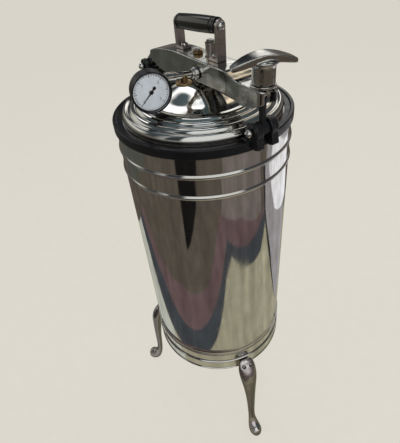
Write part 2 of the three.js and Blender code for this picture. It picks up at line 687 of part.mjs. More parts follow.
// Two arched wings on a flanged barrel, about Z.
function wingNut() {
  const crown = smooth([
    [-48, 1006], [-38, 1011], [-20, 1017], [0, 1020], [20, 1017], [38, 1011], [48, 1006],
  ], 24);
  const under = smooth([
    [47, 1001], [36, 1003.5], [20, 1007], [0, 1009], [-20, 1007], [-36, 1003.5], [-47, 1001],
  ], 20);
  const arch = plateZ([...crown, ...under].reverse(), -15, 15).rotateX(Math.PI / 2);
  const leaf = smooth([[48, -2.5], [45, -7.5], [30, -12], [12, -14], [0, -14.4]], 14);
  const side = [...leaf, ...leaf.slice(0, -1).reverse().map(([x, y]) => [-x, y])];
  const plan = plateZ([...side, ...side.map(([x, y]) => [-x, -y])].reverse(), 980, 1025);
  const barrel = turned([
    [0, NUT_Z], [BARREL_R, NUT_Z], [BARREL_R, 1003], [20.5, 1007], [20.5, 1010], [12, NUT_TOP_Z - 1],
    [0, NUT_TOP_Z - 1],
  ]);
  const bore = bar(BOLT_R + GAP, NUT_Z - 5, NUT_TOP_Z - 9);
  return cut(join(common(arch, plan), barrel), bore)
    .rotateZ(THREE.MathUtils.degToRad(WING_TURN))
    .translate(0, BOLT_Y, 0);
}

// ---- Fittings on the lid -----------------------------------------------------------------------

const RELIEF_R = 8.5;
const RELIEF_TOP_Z = 1007.5;
const PIPE_R = 5;
const PIPE_BORE_R = 2.5;
const PIPE_AT_GAUGE = new THREE.Vector3(-84, -23, 973);
const PIPE_AT_WALL = new THREE.Vector3(-18.5, -28, 964.6); // inside the bridge's left side
const PIPE_SOCKET = 4; // depth of the pipe's socket in the relief valve's column

// A point on the pipe's axis at a place across the bridge.
function pipeAt(x) {
  const share = (x - PIPE_AT_WALL.x) / (PIPE_AT_GAUGE.x - PIPE_AT_WALL.x);
  return PIPE_AT_WALL.clone().lerp(PIPE_AT_GAUGE, share);
}

const PIPE_END_X = RELIEF.x - RELIEF_R + PIPE_SOCKET;

function gaugePipe() {
  const whole = barBetween(pipeAt(-90), pipeAt(PIPE_END_X), PIPE_R);
  return cut(whole, barBetween(pipeAt(-95), pipeAt(PIPE_END_X + 1), PIPE_BORE_R, 10), gaugeBlank());
}

// The round nut that clamps the pipe against the bridge's side.
function pipeNut() {
  const inner = -BRIDGE_HALF - GAP - 0.4;
  const body = join(
    barBetween(pipeAt(inner - 7), pipeAt(inner), 10),
    barBetween(pipeAt(inner - 11), pipeAt(inner - 6), 7.6));
  const bridgeSide = block(-BRIDGE_HALF - GAP, 0, -60, 0, CUT_LOW_Z, CUT_HIGH_Z);
  return cut(body, barBetween(pipeAt(-50), pipeAt(0), PIPE_R + GAP), bridgeSide);
}

// The steam outlet hangs under the pipe and is opened by a milled wheel.
const OUTLET_X = -47;
const OUTLET_R = 6.5;
const WHEEL_R = 14;
const WHEEL_THICKNESS = 4.4;
const WHEEL_TOP_Z = 957.6;
const STEM_R = 2.6;

function exhaustValve() {
  const { x, y, z } = pipeAt(OUTLET_X);
  return cut(
    bar(OUTLET_R, WHEEL_TOP_Z + GAP, z).translate(x, y, 0),
    barBetween(pipeAt(-70), pipeAt(-30), PIPE_R + GAP),
    bar(STEM_R + GAP, CUT_LOW_Z, WHEEL_TOP_Z + 3.4, 12).translate(x, y, 0));
}

function exhaustWheel() {
  const { x, y } = pipeAt(OUTLET_X);
  const low = WHEEL_TOP_Z - WHEEL_THICKNESS;
  return turned([
    [0, low - 1.6], [4, low - 1.6], [4.6, low], [WHEEL_R - 1, low],
    [WHEEL_R, low + 1], [WHEEL_R, WHEEL_TOP_Z - 1],
    [WHEEL_R - 1, WHEEL_TOP_Z], [STEM_R, WHEEL_TOP_Z], [STEM_R, WHEEL_TOP_Z + 3], [0, WHEEL_TOP_Z + 3],
  ], 24).translate(x, y, 0);
}

function reliefBody() {
  const post = turned([
    [0, 925], [11, 925], [11, LID_TOP_Z + 3], [RELIEF_R, LID_TOP_Z + 5], [RELIEF_R, RELIEF_TOP_Z - 3],
    [RELIEF_R + 0.5, RELIEF_TOP_Z - 2], [RELIEF_R + 0.5, RELIEF_TOP_Z - 0.6], [RELIEF_R - 0.6, RELIEF_TOP_Z],
    [0, RELIEF_TOP_Z],
  ]);
  const bore = bar(3, CUT_LOW_Z, RELIEF_TOP_Z + 5, 12);
  const well = bar(6, BRIDGE_TOP_Z + 3, RELIEF_TOP_Z + 5);
  const column = cut(post, bore, well).translate(RELIEF.x, RELIEF.y, 0);
  const socket = barBetween(pipeAt(-30), pipeAt(PIPE_END_X + GAP), PIPE_R + GAP);
  return cut(column, lidBlank(GAP), socket);
}

// The relief valve's weighted knob: it lifts when the steam is too high, or by hand.
function reliefKnob() {
  return turned([
    [0, BRIDGE_TOP_Z + 3.5], [5.4, BRIDGE_TOP_Z + 3.5], [5.4, RELIEF_TOP_Z + 0.4], [6.6, RELIEF_TOP_Z + 0.8],
    [6.6, RELIEF_TOP_Z + 2.4], [5, RELIEF_TOP_Z + 3.2], [0, RELIEF_TOP_Z + 3.4],
  ]).translate(RELIEF.x, RELIEF.y, 0);
}

// ---- Pressure gauge ----------------------------------------------------------------------------

const CASE_R = GAUGE_R - 1;
const CASE_BACK = -18;
const CASE_FRONT = 8.5;
const DIAL_Z = 5;
const DIAL_R = CASE_R - 2.4;

// The case as a full solid, for trimming the pipe that meets it.
function gaugeBlank() {
  return onGauge(bar(CASE_R + GAP, CASE_BACK - GAP, CASE_FRONT + GAP, 32));
}

// Sets a shape drawn with its dial facing +Z on the gauge's place.
function onGauge(geometry) {
  return geometry
    .rotateX(Math.PI / 2)
    .rotateZ(THREE.MathUtils.degToRad(GAUGE_TURN))
    .translate(GAUGE_AT.x, GAUGE_AT.y, GAUGE_AT.z);
}

function gaugeCase() {
  return turned([
    [0, CASE_BACK], [CASE_R - 4, CASE_BACK], [CASE_R, CASE_BACK + 4],
    [CASE_R, CASE_FRONT], [CASE_R - 2, CASE_FRONT],
    [CASE_R - 2, CASE_BACK + 4.5], [CASE_R - 4.5, CASE_BACK + 2], [0, CASE_BACK + 2],
  ], 32);
}

function gaugeBezel() {
  const low = CASE_FRONT + GAP;
  return turned([
    [CASE_R - 0.9, low], [GAUGE_R, low], [GAUGE_R, low + 3],
    [GAUGE_R - 0.9, low + 4.2], [GAUGE_R - 2, low + 3.8],
    [GAUGE_R - 2.5, low + 2.6], [CASE_R - 0.9, low + 2.6],
  ], 32);
}

function gaugeGlass() {
  return ring(0, CASE_R - 1.2, CASE_FRONT + GAP, CASE_FRONT + GAP + 1.8, 32);
}

function gaugeDial() {
  return ring(1.6, DIAL_R, DIAL_Z, DIAL_Z + 0.8, 32);
}

const POINTER_REST = 225; // degrees from the dial's +X, anticlockwise: the zero mark

function gaugePointer() {
  const needle = [[-1.1, -9], [1.1, -9], [1.1, 0], [0.35, 23], [-0.35, 23], [-1.1, 0]];
  const tail = bar(2.4, 0, 0.8, 12).translate(0, -8, 0);
  const hub = bar(3.2, 0, 0.9, 16);
  const arbor = bar(1.1, -7, 0.5, 10);
  return join(plateZ(needle, 0, 0.8), tail, hub, arbor)
    .rotateZ(THREE.MathUtils.degToRad(POINTER_REST - 90))
    .translate(0, 0, DIAL_Z + 1.6);
}

function bourdonTube() {
  const curve = new THREE.CatmullRomCurve3(
    arc(0, 0, 19, -20, 220, 18).map(([x, y]) => new THREE.Vector3(x, y, -6)));
  return wire(curve, 2.6, 16, 6);
}

// ---- Assembly ----------------------------------------------------------------------------------

addPiece(autoclave, 'outer_jacket', outerJacket(), 'polished');
addPiece(autoclave, 'base_skirt', baseSkirt(), 'polished');
addPiece(autoclave, 'flame_ring', flameRing(), 'steel');
addPiece(autoclave, 'pressure_chamber', pressureChamber(), 'steel');
addPiece(autoclave, 'collar_ring', collarRing(), 'cast');
addPiece(autoclave, 'lid_gasket', lidGasket(), 'rubber');
Object.entries(LEG_AZIMUTHS).forEach(([name, azimuth]) => addLeg(name, azimuth));

addPiece(autoclave, 'trivet', trivet(), 'steel');
addPiece(autoclave, 'basket', basket(), 'steel');
addPiece(autoclave, 'basket_bail', basketBail(), 'steel');

addPiece(autoclave, 'hinge_bracket', hingeBracket(), 'cast');
addPiece(autoclave, 'hinge_pin', ballPin(KNUCKLE_HALF + 9.5, 6.5, HINGE_Y, HINGE_Z), 'polished');
addPiece(autoclave, 'bolt_lug', boltLug(), 'cast');
addPiece(autoclave, 'lug_pin', ballPin(EYE_HALF + 14.5, 6.5, BOLT_Y, BOLT_PIVOT_Z), 'polished');

addPiece(autoclave, 'lid', lid(), 'polished');
addPiece(autoclave, 'bridge', bridge(), 'polished');
addPiece(autoclave, 'lid_stud', lidStud(), 'steel');
addPiece(autoclave, 'stud_nut', studNut(), 'bronze');
Object.keys(POSTS).forEach((end) => {
  addPiece(autoclave, `handle_post_${end}`, handlePost(end), 'satin');
  addPiece(autoclave, `post_screw_${end}`, postScrew(end), 'polished');
});
addPiece(autoclave, 'handle_rod', handleRod(), 'polished');
addPiece(autoclave, 'handle_grip', handleGrip(), 'bakelite');

addPiece(autoclave, 'swing_bolt', swingBolt(), 'blackened');
addPiece(autoclave, 'thrust_washer', thrustWasher(), 'polished');
addPiece(autoclave, 'wing_nut', wingNut(), 'polished');

addPiece(autoclave, 'gauge_pipe', gaugePipe(), 'polished');
addPiece(autoclave, 'pipe_nut', pipeNut(), 'polished');
addPiece(autoclave, 'exhaust_valve', exhaustValve(), 'bronze');
addPiece(autoclave, 'exhaust_wheel', exhaustWheel(), 'bronze');
addPiece(autoclave, 'relief_body', reliefBody(), 'satin');
addPiece(autoclave, 'relief_knob', reliefKnob(), 'steel');

addPiece(autoclave, 'gauge_case', onGauge(gaugeCase()), 'blackened');
addPiece(autoclave, 'gauge_bezel', onGauge(gaugeBezel()), 'blackened');
addPiece(autoclave, 'gauge_glass', onGauge(gaugeGlass()), 'glass');
addPiece(autoclave, 'gauge_dial', onGauge(gaugeDial()), 'enamel');
addPiece(autoclave, 'gauge_pointer', onGauge(gaugePointer()), 'bakelite');
addPiece(autoclave, 'bourdon_tube', onGauge(bourdonTube()), 'bronze');

autoclave.position.set(-BOX_MIDDLE.x, -BOX_MIDDLE.y, 0);

export default autoclave;
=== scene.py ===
"""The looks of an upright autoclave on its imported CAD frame: fine pieces, finishes, stage and camera.

Shapes are worked out in millimetres from the foot of the drum's axis: +Z up from the floor, -Y to the swing
bolt, +Y to the hinge. They become metres in the CAD frame when a piece is made.
"""

import json
import math
import bmesh
import bpy
from mathutils import Matrix, Vector


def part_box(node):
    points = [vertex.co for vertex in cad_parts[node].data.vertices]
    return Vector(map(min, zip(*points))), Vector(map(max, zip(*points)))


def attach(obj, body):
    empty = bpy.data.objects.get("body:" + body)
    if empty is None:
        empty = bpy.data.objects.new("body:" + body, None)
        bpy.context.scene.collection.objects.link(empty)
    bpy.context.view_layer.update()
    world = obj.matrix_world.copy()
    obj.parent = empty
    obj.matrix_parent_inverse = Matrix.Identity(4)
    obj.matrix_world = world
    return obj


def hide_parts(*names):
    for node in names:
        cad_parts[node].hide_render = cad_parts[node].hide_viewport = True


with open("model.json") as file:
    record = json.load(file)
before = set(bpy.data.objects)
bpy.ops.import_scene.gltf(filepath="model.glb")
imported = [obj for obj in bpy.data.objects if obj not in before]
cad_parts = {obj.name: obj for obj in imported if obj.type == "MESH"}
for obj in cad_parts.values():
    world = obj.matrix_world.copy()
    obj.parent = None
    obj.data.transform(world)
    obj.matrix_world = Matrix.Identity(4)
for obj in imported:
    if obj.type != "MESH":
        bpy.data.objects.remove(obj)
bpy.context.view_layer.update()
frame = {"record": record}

MM = 0.001
TURN = 2 * math.pi
LARGE = 192  # sides of a large turned piece
SMALL = 56  # sides of a small turned piece
GAP = 0.3  # clearance between neighbouring pieces

AXIS = sum(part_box("outer_jacket"), Vector()) / 2  # the drum's axis on the floor, in the CAD frame
AXIS.z = 0
RECORD = frame["record"]
JOINTS = {joint["name"]: joint for joint in RECORD["behaviour"]["joints"]}
BODY_OF = {node: body for body, nodes in RECORD["behaviour"]["bodies"].items() for node in nodes}
SLOT_OF = {part["node"]: part["material_slot"] for part in RECORD["subparts"]}


def span(node):
    """Lowest and highest corner of a CAD node, in millimetres from the foot of the drum's axis."""
    low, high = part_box(node)
    return (low - AXIS) / MM, (high - AXIS) / MM


def joint_at(name):
    """A point on a joint's axis, in the same millimetres."""
    return (Vector(JOINTS[name]["pos_m"]) - AXIS) / MM


# ---- Dimensions taken from the frame ---------------------------------------------------------------

DRUM_R = 160
JACKET_LOW = span("outer_jacket")[0].z
COLLAR_LOW, COLLAR_HIGH = (corner.z for corner in span("collar_ring"))
COLLAR_R = span("collar_ring")[1].x
SKIRT_LOW, SKIRT_HIGH = (corner.z for corner in span("base_skirt"))
LID_LOW, LID_HIGH = (corner.z for corner in span("lid"))
LID_R = span("lid")[1].x
HINGE_Y, HINGE_Z = joint_at("bridge_swing").yz
BOLT_Y, BOLT_PIVOT_Z = joint_at("bolt_swing").yz
BRIDGE_TOP = 985.6
PAD_TOP = 974.4
HANDLE_Z = joint_at("grip_turn").z
HANDLE_SLOPE = math.asin(JOINTS["grip_turn"]["axis"][2])
RELIEF_AT = Vector((7, -28, 0))
LEG_AZIMUTHS = {"front": -102, "right": 18, "rear": 136}


# ---- Shapes: a list of points and a list of faces, in millimetres ----------------------------------


def place(shape, matrix):
    points, faces = shape
    return [matrix @ p for p in points], faces


def shift(shape, x=0, y=0, z=0):
    return place(shape, Matrix.Translation((x, y, z)))


def merge(*shapes):
    points, faces = [], []
    for shape_points, shape_faces in shapes:
        offset = len(points)
        points += shape_points
        faces += [[i + offset for i in face] for face in shape_faces]
    return points, faces


def lathe(profile, segments=SMALL):
    """A solid turned about Z from (radius, height) points that run anticlockwise round its section."""
    points, rows = [], []
    for radius, height in profile:
        if radius == 0:
            rows.append([len(points)] * segments)
            points.append(Vector((0, 0, height)))
            continue
        rows.append(range(len(points), len(points) + segments))
        for j in range(segments):
            angle = TURN * j / segments
            points.append(Vector((radius * math.cos(angle), radius * math.sin(angle), height)))
    if profile[0][0] > 0:
        rows.append(rows[0])
    faces = []
    for low, high in zip(rows, rows[1:]):
        for j in range(segments):
            k = (j + 1) % segments
            faces.append(list(dict.fromkeys([low[j], low[k], high[k], high[j]])))
    return points, faces


def fillet(profile, radius, steps=3):
    """The same profile with its corners rounded."""
    closed = profile[0][0] > 0
    rounded = []
    for i, corner in enumerate(profile):
        here = Vector(corner)
        before = Vector(profile[i - 1])
        after = Vector(profile[(i + 1) % len(profile)])
        at_end = not closed and i in (0, len(profile) - 1)
        if at_end or (here - before).angle(after - here) < math.radians(12):
            rounded.append(here)
            continue
        reach = min(radius, 0.45 * (here - before).length, 0.45 * (after - here).length)
        start = here + (before - here).normalized() * reach
        end = here + (after - here).normalized() * reach
        for step in range(steps + 1):
            t = step / steps
            rounded.append(start * (1 - t) ** 2 + here * 2 * t * (1 - t) + end * t * t)
    return [(p.x, p.y) for p in rounded]


def turned(profile, radius=0.6, segments=SMALL):
    return lathe(fillet(profile, radius), segments)


def along_x(shape, y, z):
    return place(shape, Matrix.Translation((0, y, z)) @ Matrix.Rotation(math.pi / 2, 4, "Y"))


def spline(points, steps):
    """Points of a smooth curve through the given ones, with so many steps between each two."""
    knots = [Vector(p) for p in points]
    knots = [2 * knots[0] - knots[1]] + knots + [2 * knots[-1] - knots[-2]]
    curve = []
    for a, b, c, d in zip(knots, knots[1:], knots[2:], knots[3:]):
        for step in range(steps):
            t = step / steps
            curve.append(0.5 * (2 * b + (c - a) * t + (2 * a - 5 * b + 4 * c - d) * t**2
                                + (3 * b - a - 3 * c + d) * t**3))
    return curve + [knots[-2]]


def loft(rings):
    """A closed skin through rings of points, with both ends capped."""
    sides = len(rings[0])
    points = [p for ring in rings for p in ring]
    faces = []
    for row in range(len(rings) - 1):
        for i in range(sides):
            a, b = row * sides + i, row * sides + (i + 1) % sides
            faces.append([a, b, b + sides, a + sides])
    faces.append(list(range(sides)))
    faces.append(list(range(len(points) - sides, len(points))))
    return points, faces


def tube(path, radii, sides=24):
    """A round bar along a path, with a radius at each of its points."""
    rings = []
    side = None
    for i, here in enumerate(path):
        ahead = (path[min(i + 1, len(path) - 1)] - path[max(i - 1, 0)]).normalized()
        if side is None:
            side = ahead.orthogonal().normalized()
        side = (side - ahead * side.dot(ahead)).normalized()
        other = ahead.cross(side)
        angles = [TURN * j / sides for j in range(sides)]
        rings.append([here + (side * math.cos(a) + other * math.sin(a)) * radii[i] for a in angles])
    return loft(rings)


def plate(outline, low, high, axis):
    """A flat plate: its thickness is along the axis named, and its outline is in the other two."""
    def lift(u, v, depth):
        return {"X": Vector((depth, u, v)), "Y": Vector((u, depth, v)), "Z": Vector((u, v, depth))}[axis]

    count = len(outline)
    points = [lift(u, v, depth) for depth in (low, high) for u, v in outline]
    faces = [list(range(count)), list(range(count, 2 * count))]
    for i in range(count):
        j = (i + 1) % count
        faces.append([i, j, j + count, i + count])
    return points, faces


def block(x_low, x_high, y_low, y_high, z_low, z_high):
    outline = [(x_low, y_low), (x_high, y_low), (x_high, y_high), (x_low, y_high)]
    return plate(outline, z_low, z_high, "Z")


def arc(x, y, radius, start, end, steps):
    angles = [math.radians(start + (end - start) * i / steps) for i in range(steps + 1)]
    return [(x + radius * math.cos(a), y + radius * math.sin(a)) for a in angles]


def nut(radius, low, high, sides=6):
    """A hexagon nut about Z, its corners turned down to a chamfer."""
    angles = [TURN * i / sides for i in range(sides)]
    outline = [(radius * math.cos(a), radius * math.sin(a)) for a in angles]
    chamfer = 0.12 * radius
    cone = lathe([(0, low), (radius - chamfer, low), (radius + 0.1, low + chamfer * 0.6),
                  (radius + 0.1, high - chamfer * 0.6), (radius - chamfer, high), (0, high)])
    return combine(plate(outline, low - 1, high + 1, "Z"), "INTERSECT", cone)


# ---- Meshes ----------------------------------------------------------------------------------------


def new_object(name, shape):
    """A mesh object in metres with its faces turned outward."""
    points, faces = shape
    mesh = bpy.data.meshes.new(name)
    mesh.from_pydata([p * MM + AXIS for p in points], [], faces)
    work = bmesh.new()
    work.from_mesh(mesh)
    bmesh.ops.recalc_face_normals(work, faces=work.faces)
    work.to_mesh(mesh)
    work.free()
    obj = bpy.data.objects.new(name, mesh)
    bpy.context.scene.collection.objects.link(obj)
    return obj


def bake(obj):
    """Replaces an object's mesh with what its modifiers make of it."""
    bpy.context.view_layer.update()
    evaluated = obj.evaluated_get(bpy.context.evaluated_depsgraph_get())
    obj.data = bpy.data.meshes.new_from_object(evaluated)
    obj.modifiers.clear()


def discard(obj):
    mesh = obj.data
    bpy.data.objects.remove(obj)
    bpy.data.meshes.remove(mesh)


def to_shape(obj):
    points = [(v.co - AXIS) / MM for v in obj.data.vertices]
    return points, [list(face.vertices) for face in obj.data.polygons]


def combine(shape, operation, *others):
    """A shape joined with, cut by or limited to others: UNION, DIFFERENCE or INTERSECT."""
    for other in others:
        obj, tool = new_object("work", shape), new_object("tool", other)
        modifier = obj.modifiers.new("combine", "BOOLEAN")
        modifier.operation = operation
        modifier.object = tool
        bake(obj)
        discard(tool)
        shape = to_shape(obj)
        discard(obj)
    return shape


def cast(shape, voxel, smoothing, dimple=0.0):
    """A shape as it comes from a mould: one skin with soft edges, and with dimples of a given depth."""
    obj = new_object("work", shape)
    remesh = obj.modifiers.new("skin", "REMESH")
    remesh.mode = "VOXEL"
    remesh.voxel_size = voxel * MM
    soften = obj.modifiers.new("soften", "SMOOTH")
    soften.factor = 0.5
    soften.iterations = smoothing
    if dimple:
        texture = bpy.data.textures.new("dimples", "CLOUDS")
        texture.noise_scale = 0.006
        rough = obj.modifiers.new("rough", "DISPLACE")
        rough.texture = texture
        rough.strength = dimple * MM
    bake(obj)
    result = to_shape(obj)
    discard(obj)
    return result


def piece(name, shape, node, slot=None, look=None, bevel=0.0, sharp=40, extra=False):
    """A shown piece in place of a CAD node, or as an extra to it, with that node's body and material slot."""
    obj = new_object(name, shape)
    obj.data.shade_smooth()
    obj.data.set_sharp_from_angle(angle=math.radians(sharp))
    if bevel:
        edge = obj.modifiers.new("edges", "BEVEL")
        edge.width = bevel * MM
        edge.segments = 3
        edge.limit_method = "ANGLE"
        edge.angle_limit = math.radians(30)
    shading = obj.modifiers.new("shading", "WEIGHTED_NORMAL")
    shading.keep_sharp = True
    slot = slot or SLOT_OF[node]
    obj.data.materials.append(MATERIALS[look or slot])
    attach(obj, BODY_OF[node])
    if not extra:
        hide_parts(node)
    return obj


# ---- Materials -------------------------------------------------------------------------------------


def srgb(red, green, blue):
    """A colour of eight-bit display values as linear RGBA."""
    def linear(value):
        share = value / 255
        return share / 12.92 if share <= 0.04045 else ((share + 0.055) / 1.055) ** 2.4

    return linear(red), linear(green), linear(blue), 1.0


class Graph:
    """A node tree in the making: each call adds a node and gives back one of its outputs."""

    def __init__(self, tree):
        self.tree = tree
        tree.nodes.clear()

    def feed(self, socket, value):
        if isinstance(value, bpy.types.NodeSocket):
            self.tree.links.new(value, socket)
        else:
            socket.default_value = value

    def add(self, kind, inputs=None, output=0, **settings):
        node = self.tree.nodes.new(kind)
        for label, value in settings.items():
            setattr(node, label, value)
        for label, value in (inputs or {}).items():
            self.feed(node.inputs[label], value)
        return node.outputs[output] if node.outputs else None

    def math(self, operation, a, b=0.0):
        return self.add("ShaderNodeMath", {0: a, 1: b}, operation=operation)

    def mix(self, share, a, b):
        return self.add("ShaderNodeMix", {0: share, 6: a, 7: b}, output=2, data_type="RGBA")

    def remap(self, value, low, high, to_low=0.0, to_high=1.0):
        return self.add("ShaderNodeMapRange", {0: value, 1: low, 2: high, 3: to_low, 4: to_high})

    def place(self, scale=(1, 1, 1)):
        """The point on the piece in metres, stretched by a scale along each axis."""
        point = self.add("ShaderNodeTexCoord", output=3)
        return self.add("ShaderNodeMapping", {"Vector": point, "Scale": scale})

    def noise(self, size, detail=4.0, stretch=(1, 1, 1), roughness=0.55):
        """Cloudy noise with blobs of about the given size in millimetres."""
        return self.add("ShaderNodeTexNoise", {
            "Vector": self.place(stretch), "Scale": 1 / (size * MM), "Detail": detail,
            "Roughness": roughness})

    def bump(self, *layers):
        """Stacks (height, depth in millimetres) layers into one normal."""
        normal = None
        for height, depth in layers:
            inputs = {"Height": height, "Strength": 1.0, "Distance": depth * MM}
            if normal is not None:
                inputs["Normal"] = normal
            normal = self.add("ShaderNodeBump", inputs)
        return normal

    def surface(self, **inputs):
        labels = {label.replace("_", " ").title().replace("Ior", "IOR"): value
                  for label, value in inputs.items()}
        shader = self.add("ShaderNodeBsdfPrincipled", labels)
        self.add("ShaderNodeOutputMaterial", {"Surface": shader})
        return shader


def new_material(name):
    material = bpy.data.materials.new(name)
    material.use_nodes = True
    return material, Graph(material.node_tree)


MATERIALS = {}


def as_material(lay_out):
    """Makes the material whose nodes a function lays out, under the function's name."""
    MATERIALS[lay_out.__name__], graph = new_material(lay_out.__name__)
    lay_out(graph)
    return lay_out


def crevice(graph, distance):
    """How open the surface is to the air round it, from 0 in a crack to 1 on the flat; the materials darken
    their colour by it as painted shade.
    """
    return graph.add("ShaderNodeAmbientOcclusion", {"Distance": distance * MM}, output=1, samples=4)


@as_material
def polished_steel(graph):
    smear = graph.noise(60, 5)
    streak = graph.noise(9, 3, stretch=(1, 1, 0.06))
    speck = graph.noise(1.6, 2)
    wave = graph.noise(75, 2, stretch=(1, 1, 0.4))
    dull = graph.math("MULTIPLY", graph.remap(smear, 0.42, 0.7), graph.remap(streak, 0.3, 0.7))
    roughness = graph.remap(dull, 0.0, 1.0, 0.045, 0.17)
    clean = graph.mix(graph.remap(smear, 0.35, 0.65), (0.80, 0.79, 0.77, 1), (0.72, 0.70, 0.66, 1))
    # painted shade: the colour goes dark brown in crevices by the occlusion mask, which also stands for grime
    # there
    crevice_shade_and_grime = graph.remap(crevice(graph, 5), 0.35, 0.95)
    graph.surface(
        base_color=graph.mix(crevice_shade_and_grime, (0.20, 0.17, 0.14, 1), clean), metallic=1.0,
        roughness=graph.math("ADD", roughness, graph.remap(crevice_shade_and_grime, 0.0, 1.0, 0.2, 0.0)),
        normal=graph.bump((wave, 0.35), (streak, 0.02), (speck, 0.004)))


@as_material
def cast_steel(graph):
    """The same steel on the bridge and the nut, which are less even and less bright than sheet."""
    smear = graph.noise(26, 5)
    brush = graph.noise(2.2, 3, stretch=(1, 0.12, 1))
    lump = graph.noise(16, 3)
    wave = graph.noise(55, 2, stretch=(1, 0.5, 1))
    # painted shade: the colour goes near black in crevices by the occlusion mask, which also stands for grime
    # there
    crevice_shade_and_grime = graph.remap(crevice(graph, 7), 0.3, 0.95)
    worn = graph.mix(graph.remap(smear, 0.35, 0.65), (0.70, 0.70, 0.67, 1), (0.50, 0.49, 0.46, 1))
    graph.surface(
        base_color=graph.mix(crevice_shade_and_grime, (0.14, 0.12, 0.10, 1), worn), metallic=1.0,
        roughness=graph.remap(smear, 0.3, 0.7, 0.07, 0.22),
        normal=graph.bump((wave, 1.6), (lump, 0.3), (brush, 0.012)))


@as_material
def leg_casting(graph):
    """Plated castings, with painted shade that darkens them where the surface turns away from the eye."""
    smear = graph.noise(14, 5)
    lump = graph.noise(12, 3)
    pit = graph.noise(1.4, 3)
    # a mask of where the surface turns away from the eye; the plate colour is darkened by it to brown-grey as
    # painted shade at the rims
    away = graph.remap(graph.add("ShaderNodeLayerWeight", {"Blend": 0.5}, output=1), 0.12, 0.62)
    # painted shade: the colour goes near black in crevices by the occlusion mask, which also stands for grime
    # there
    crevice_shade_and_grime = graph.remap(crevice(graph, 5), 0.3, 0.95)
    plate_colour = graph.mix(graph.remap(smear, 0.35, 0.65), (0.92, 0.87, 0.88, 1), (0.66, 0.60, 0.60, 1))
    rim_shaded_plate = graph.mix(away, plate_colour, (0.16, 0.145, 0.135, 1))
    graph.surface(
        base_color=graph.mix(crevice_shade_and_grime, (0.10, 0.09, 0.08, 1), rim_shaded_plate), metallic=1.0,
        roughness=graph.remap(smear, 0.3, 0.7, 0.12, 0.28),
        normal=graph.bump((lump, 0.5), (pit, 0.03)))


@as_material
def satin_strap(graph):
    grain = graph.noise(0.9, 4, stretch=(0.15, 1, 1))
    smear = graph.noise(14, 4)
    colour = graph.mix(graph.remap(smear, 0.3, 0.7), (0.66, 0.60, 0.58, 1), (0.50, 0.44, 0.42, 1))
    graph.surface(
        base_color=colour, metallic=1.0, roughness=graph.remap(grain, 0.3, 0.7, 0.24, 0.42),
        normal=graph.bump((grain, 0.02), (smear, 0.15)))


@as_material
def plain_steel(graph):
    smear = graph.noise(35, 6)
    grain = graph.noise(1.2, 3, stretch=(1, 1, 0.2))
    stain = graph.remap(graph.noise(22, 6, roughness=0.7), 0.52, 0.68)
    colour = graph.mix(stain, (0.60, 0.60, 0.58, 1), (0.42, 0.38, 0.33, 1))
    graph.surface(
        base_color=colour, metallic=1.0, roughness=graph.remap(smear, 0.3, 0.7, 0.22, 0.45),
        normal=graph.bump((grain, 0.02), (smear, 0.1)))


@as_material
def bronze(graph):
    patina = graph.remap(graph.noise(7, 6, roughness=0.7), 0.4, 0.65)
    # painted shade: the colour goes dark brown in crevices by the occlusion mask, which also stands for grime
    # there
    crevice_shade_and_grime = graph.remap(crevice(graph, 3), 0.4, 0.95)
    bright = graph.mix(patina, (0.72, 0.50, 0.24, 1), (0.42, 0.26, 0.13, 1))
    graph.surface(
        base_color=graph.mix(crevice_shade_and_grime, (0.09, 0.06, 0.035, 1), bright), metallic=1.0,
        roughness=graph.remap(patina, 0.0, 1.0, 0.2, 0.42), normal=graph.bump((graph.noise(2.5, 4), 0.05)))


@as_material
def black_cast(graph):
    sand = graph.noise(1.3, 5, roughness=0.7)
    lump = graph.noise(7, 4)
    worn = graph.remap(graph.noise(11, 6, roughness=0.75), 0.6, 0.72)
    graph.surface(
        base_color=graph.mix(worn, (0.008, 0.008, 0.009, 1), (0.04, 0.036, 0.032, 1)),
        metallic=0.0, roughness=graph.remap(lump, 0.3, 0.7, 0.16, 0.34), specular_ior_level=0.6,
        normal=graph.bump((lump, 0.9), (sand, 0.3)))


@as_material
def black_collar(graph):
    smear = graph.noise(24, 5)
    peel = graph.noise(3, 2)
    chip = graph.remap(graph.noise(5, 6, roughness=0.8), 0.70, 0.73)
    graph.surface(
        base_color=graph.mix(chip, (0.007, 0.007, 0.008, 1), (0.08, 0.075, 0.07, 1)), metallic=0.0,
        roughness=graph.remap(smear, 0.3, 0.7, 0.12, 0.3), specular_ior_level=0.32,
        normal=graph.bump((peel, 0.03), (smear, 0.2)))


@as_material
def blackened_steel(graph):
    smear = graph.noise(10, 5)
    worn = graph.remap(graph.noise(4, 6, roughness=0.75), 0.60, 0.72)
    graph.surface(
        base_color=graph.mix(worn, (0.012, 0.012, 0.014, 1), (0.10, 0.095, 0.09, 1)), metallic=0.2,
        roughness=graph.remap(smear, 0.3, 0.7, 0.26, 0.46), normal=graph.bump((smear, 0.08)))


@as_material
def bakelite(graph):
    swirl = graph.noise(12, 5, stretch=(1, 0.3, 1))
    handled = graph.remap(graph.noise(26, 4), 0.4, 0.7)
    graph.surface(
        base_color=graph.mix(swirl, (0.003, 0.003, 0.003, 1), (0.010, 0.008, 0.007, 1)), metallic=0.0,
        roughness=graph.remap(handled, 0.0, 1.0, 0.05, 0.14), coat_weight=0.35, coat_roughness=0.04,
        normal=graph.bump((graph.noise(9, 2), 0.05)))


@as_material
def rubber(graph):
    dust = graph.noise(9, 6, roughness=0.7)
    graph.surface(
        base_color=graph.mix(graph.remap(dust, 0.4, 0.7), (0.025, 0.022, 0.02, 1), (0.07, 0.062, 0.055, 1)),
        roughness=graph.remap(dust, 0.3, 0.7, 0.6, 0.85), normal=graph.bump((graph.noise(1.5, 4), 0.08)))


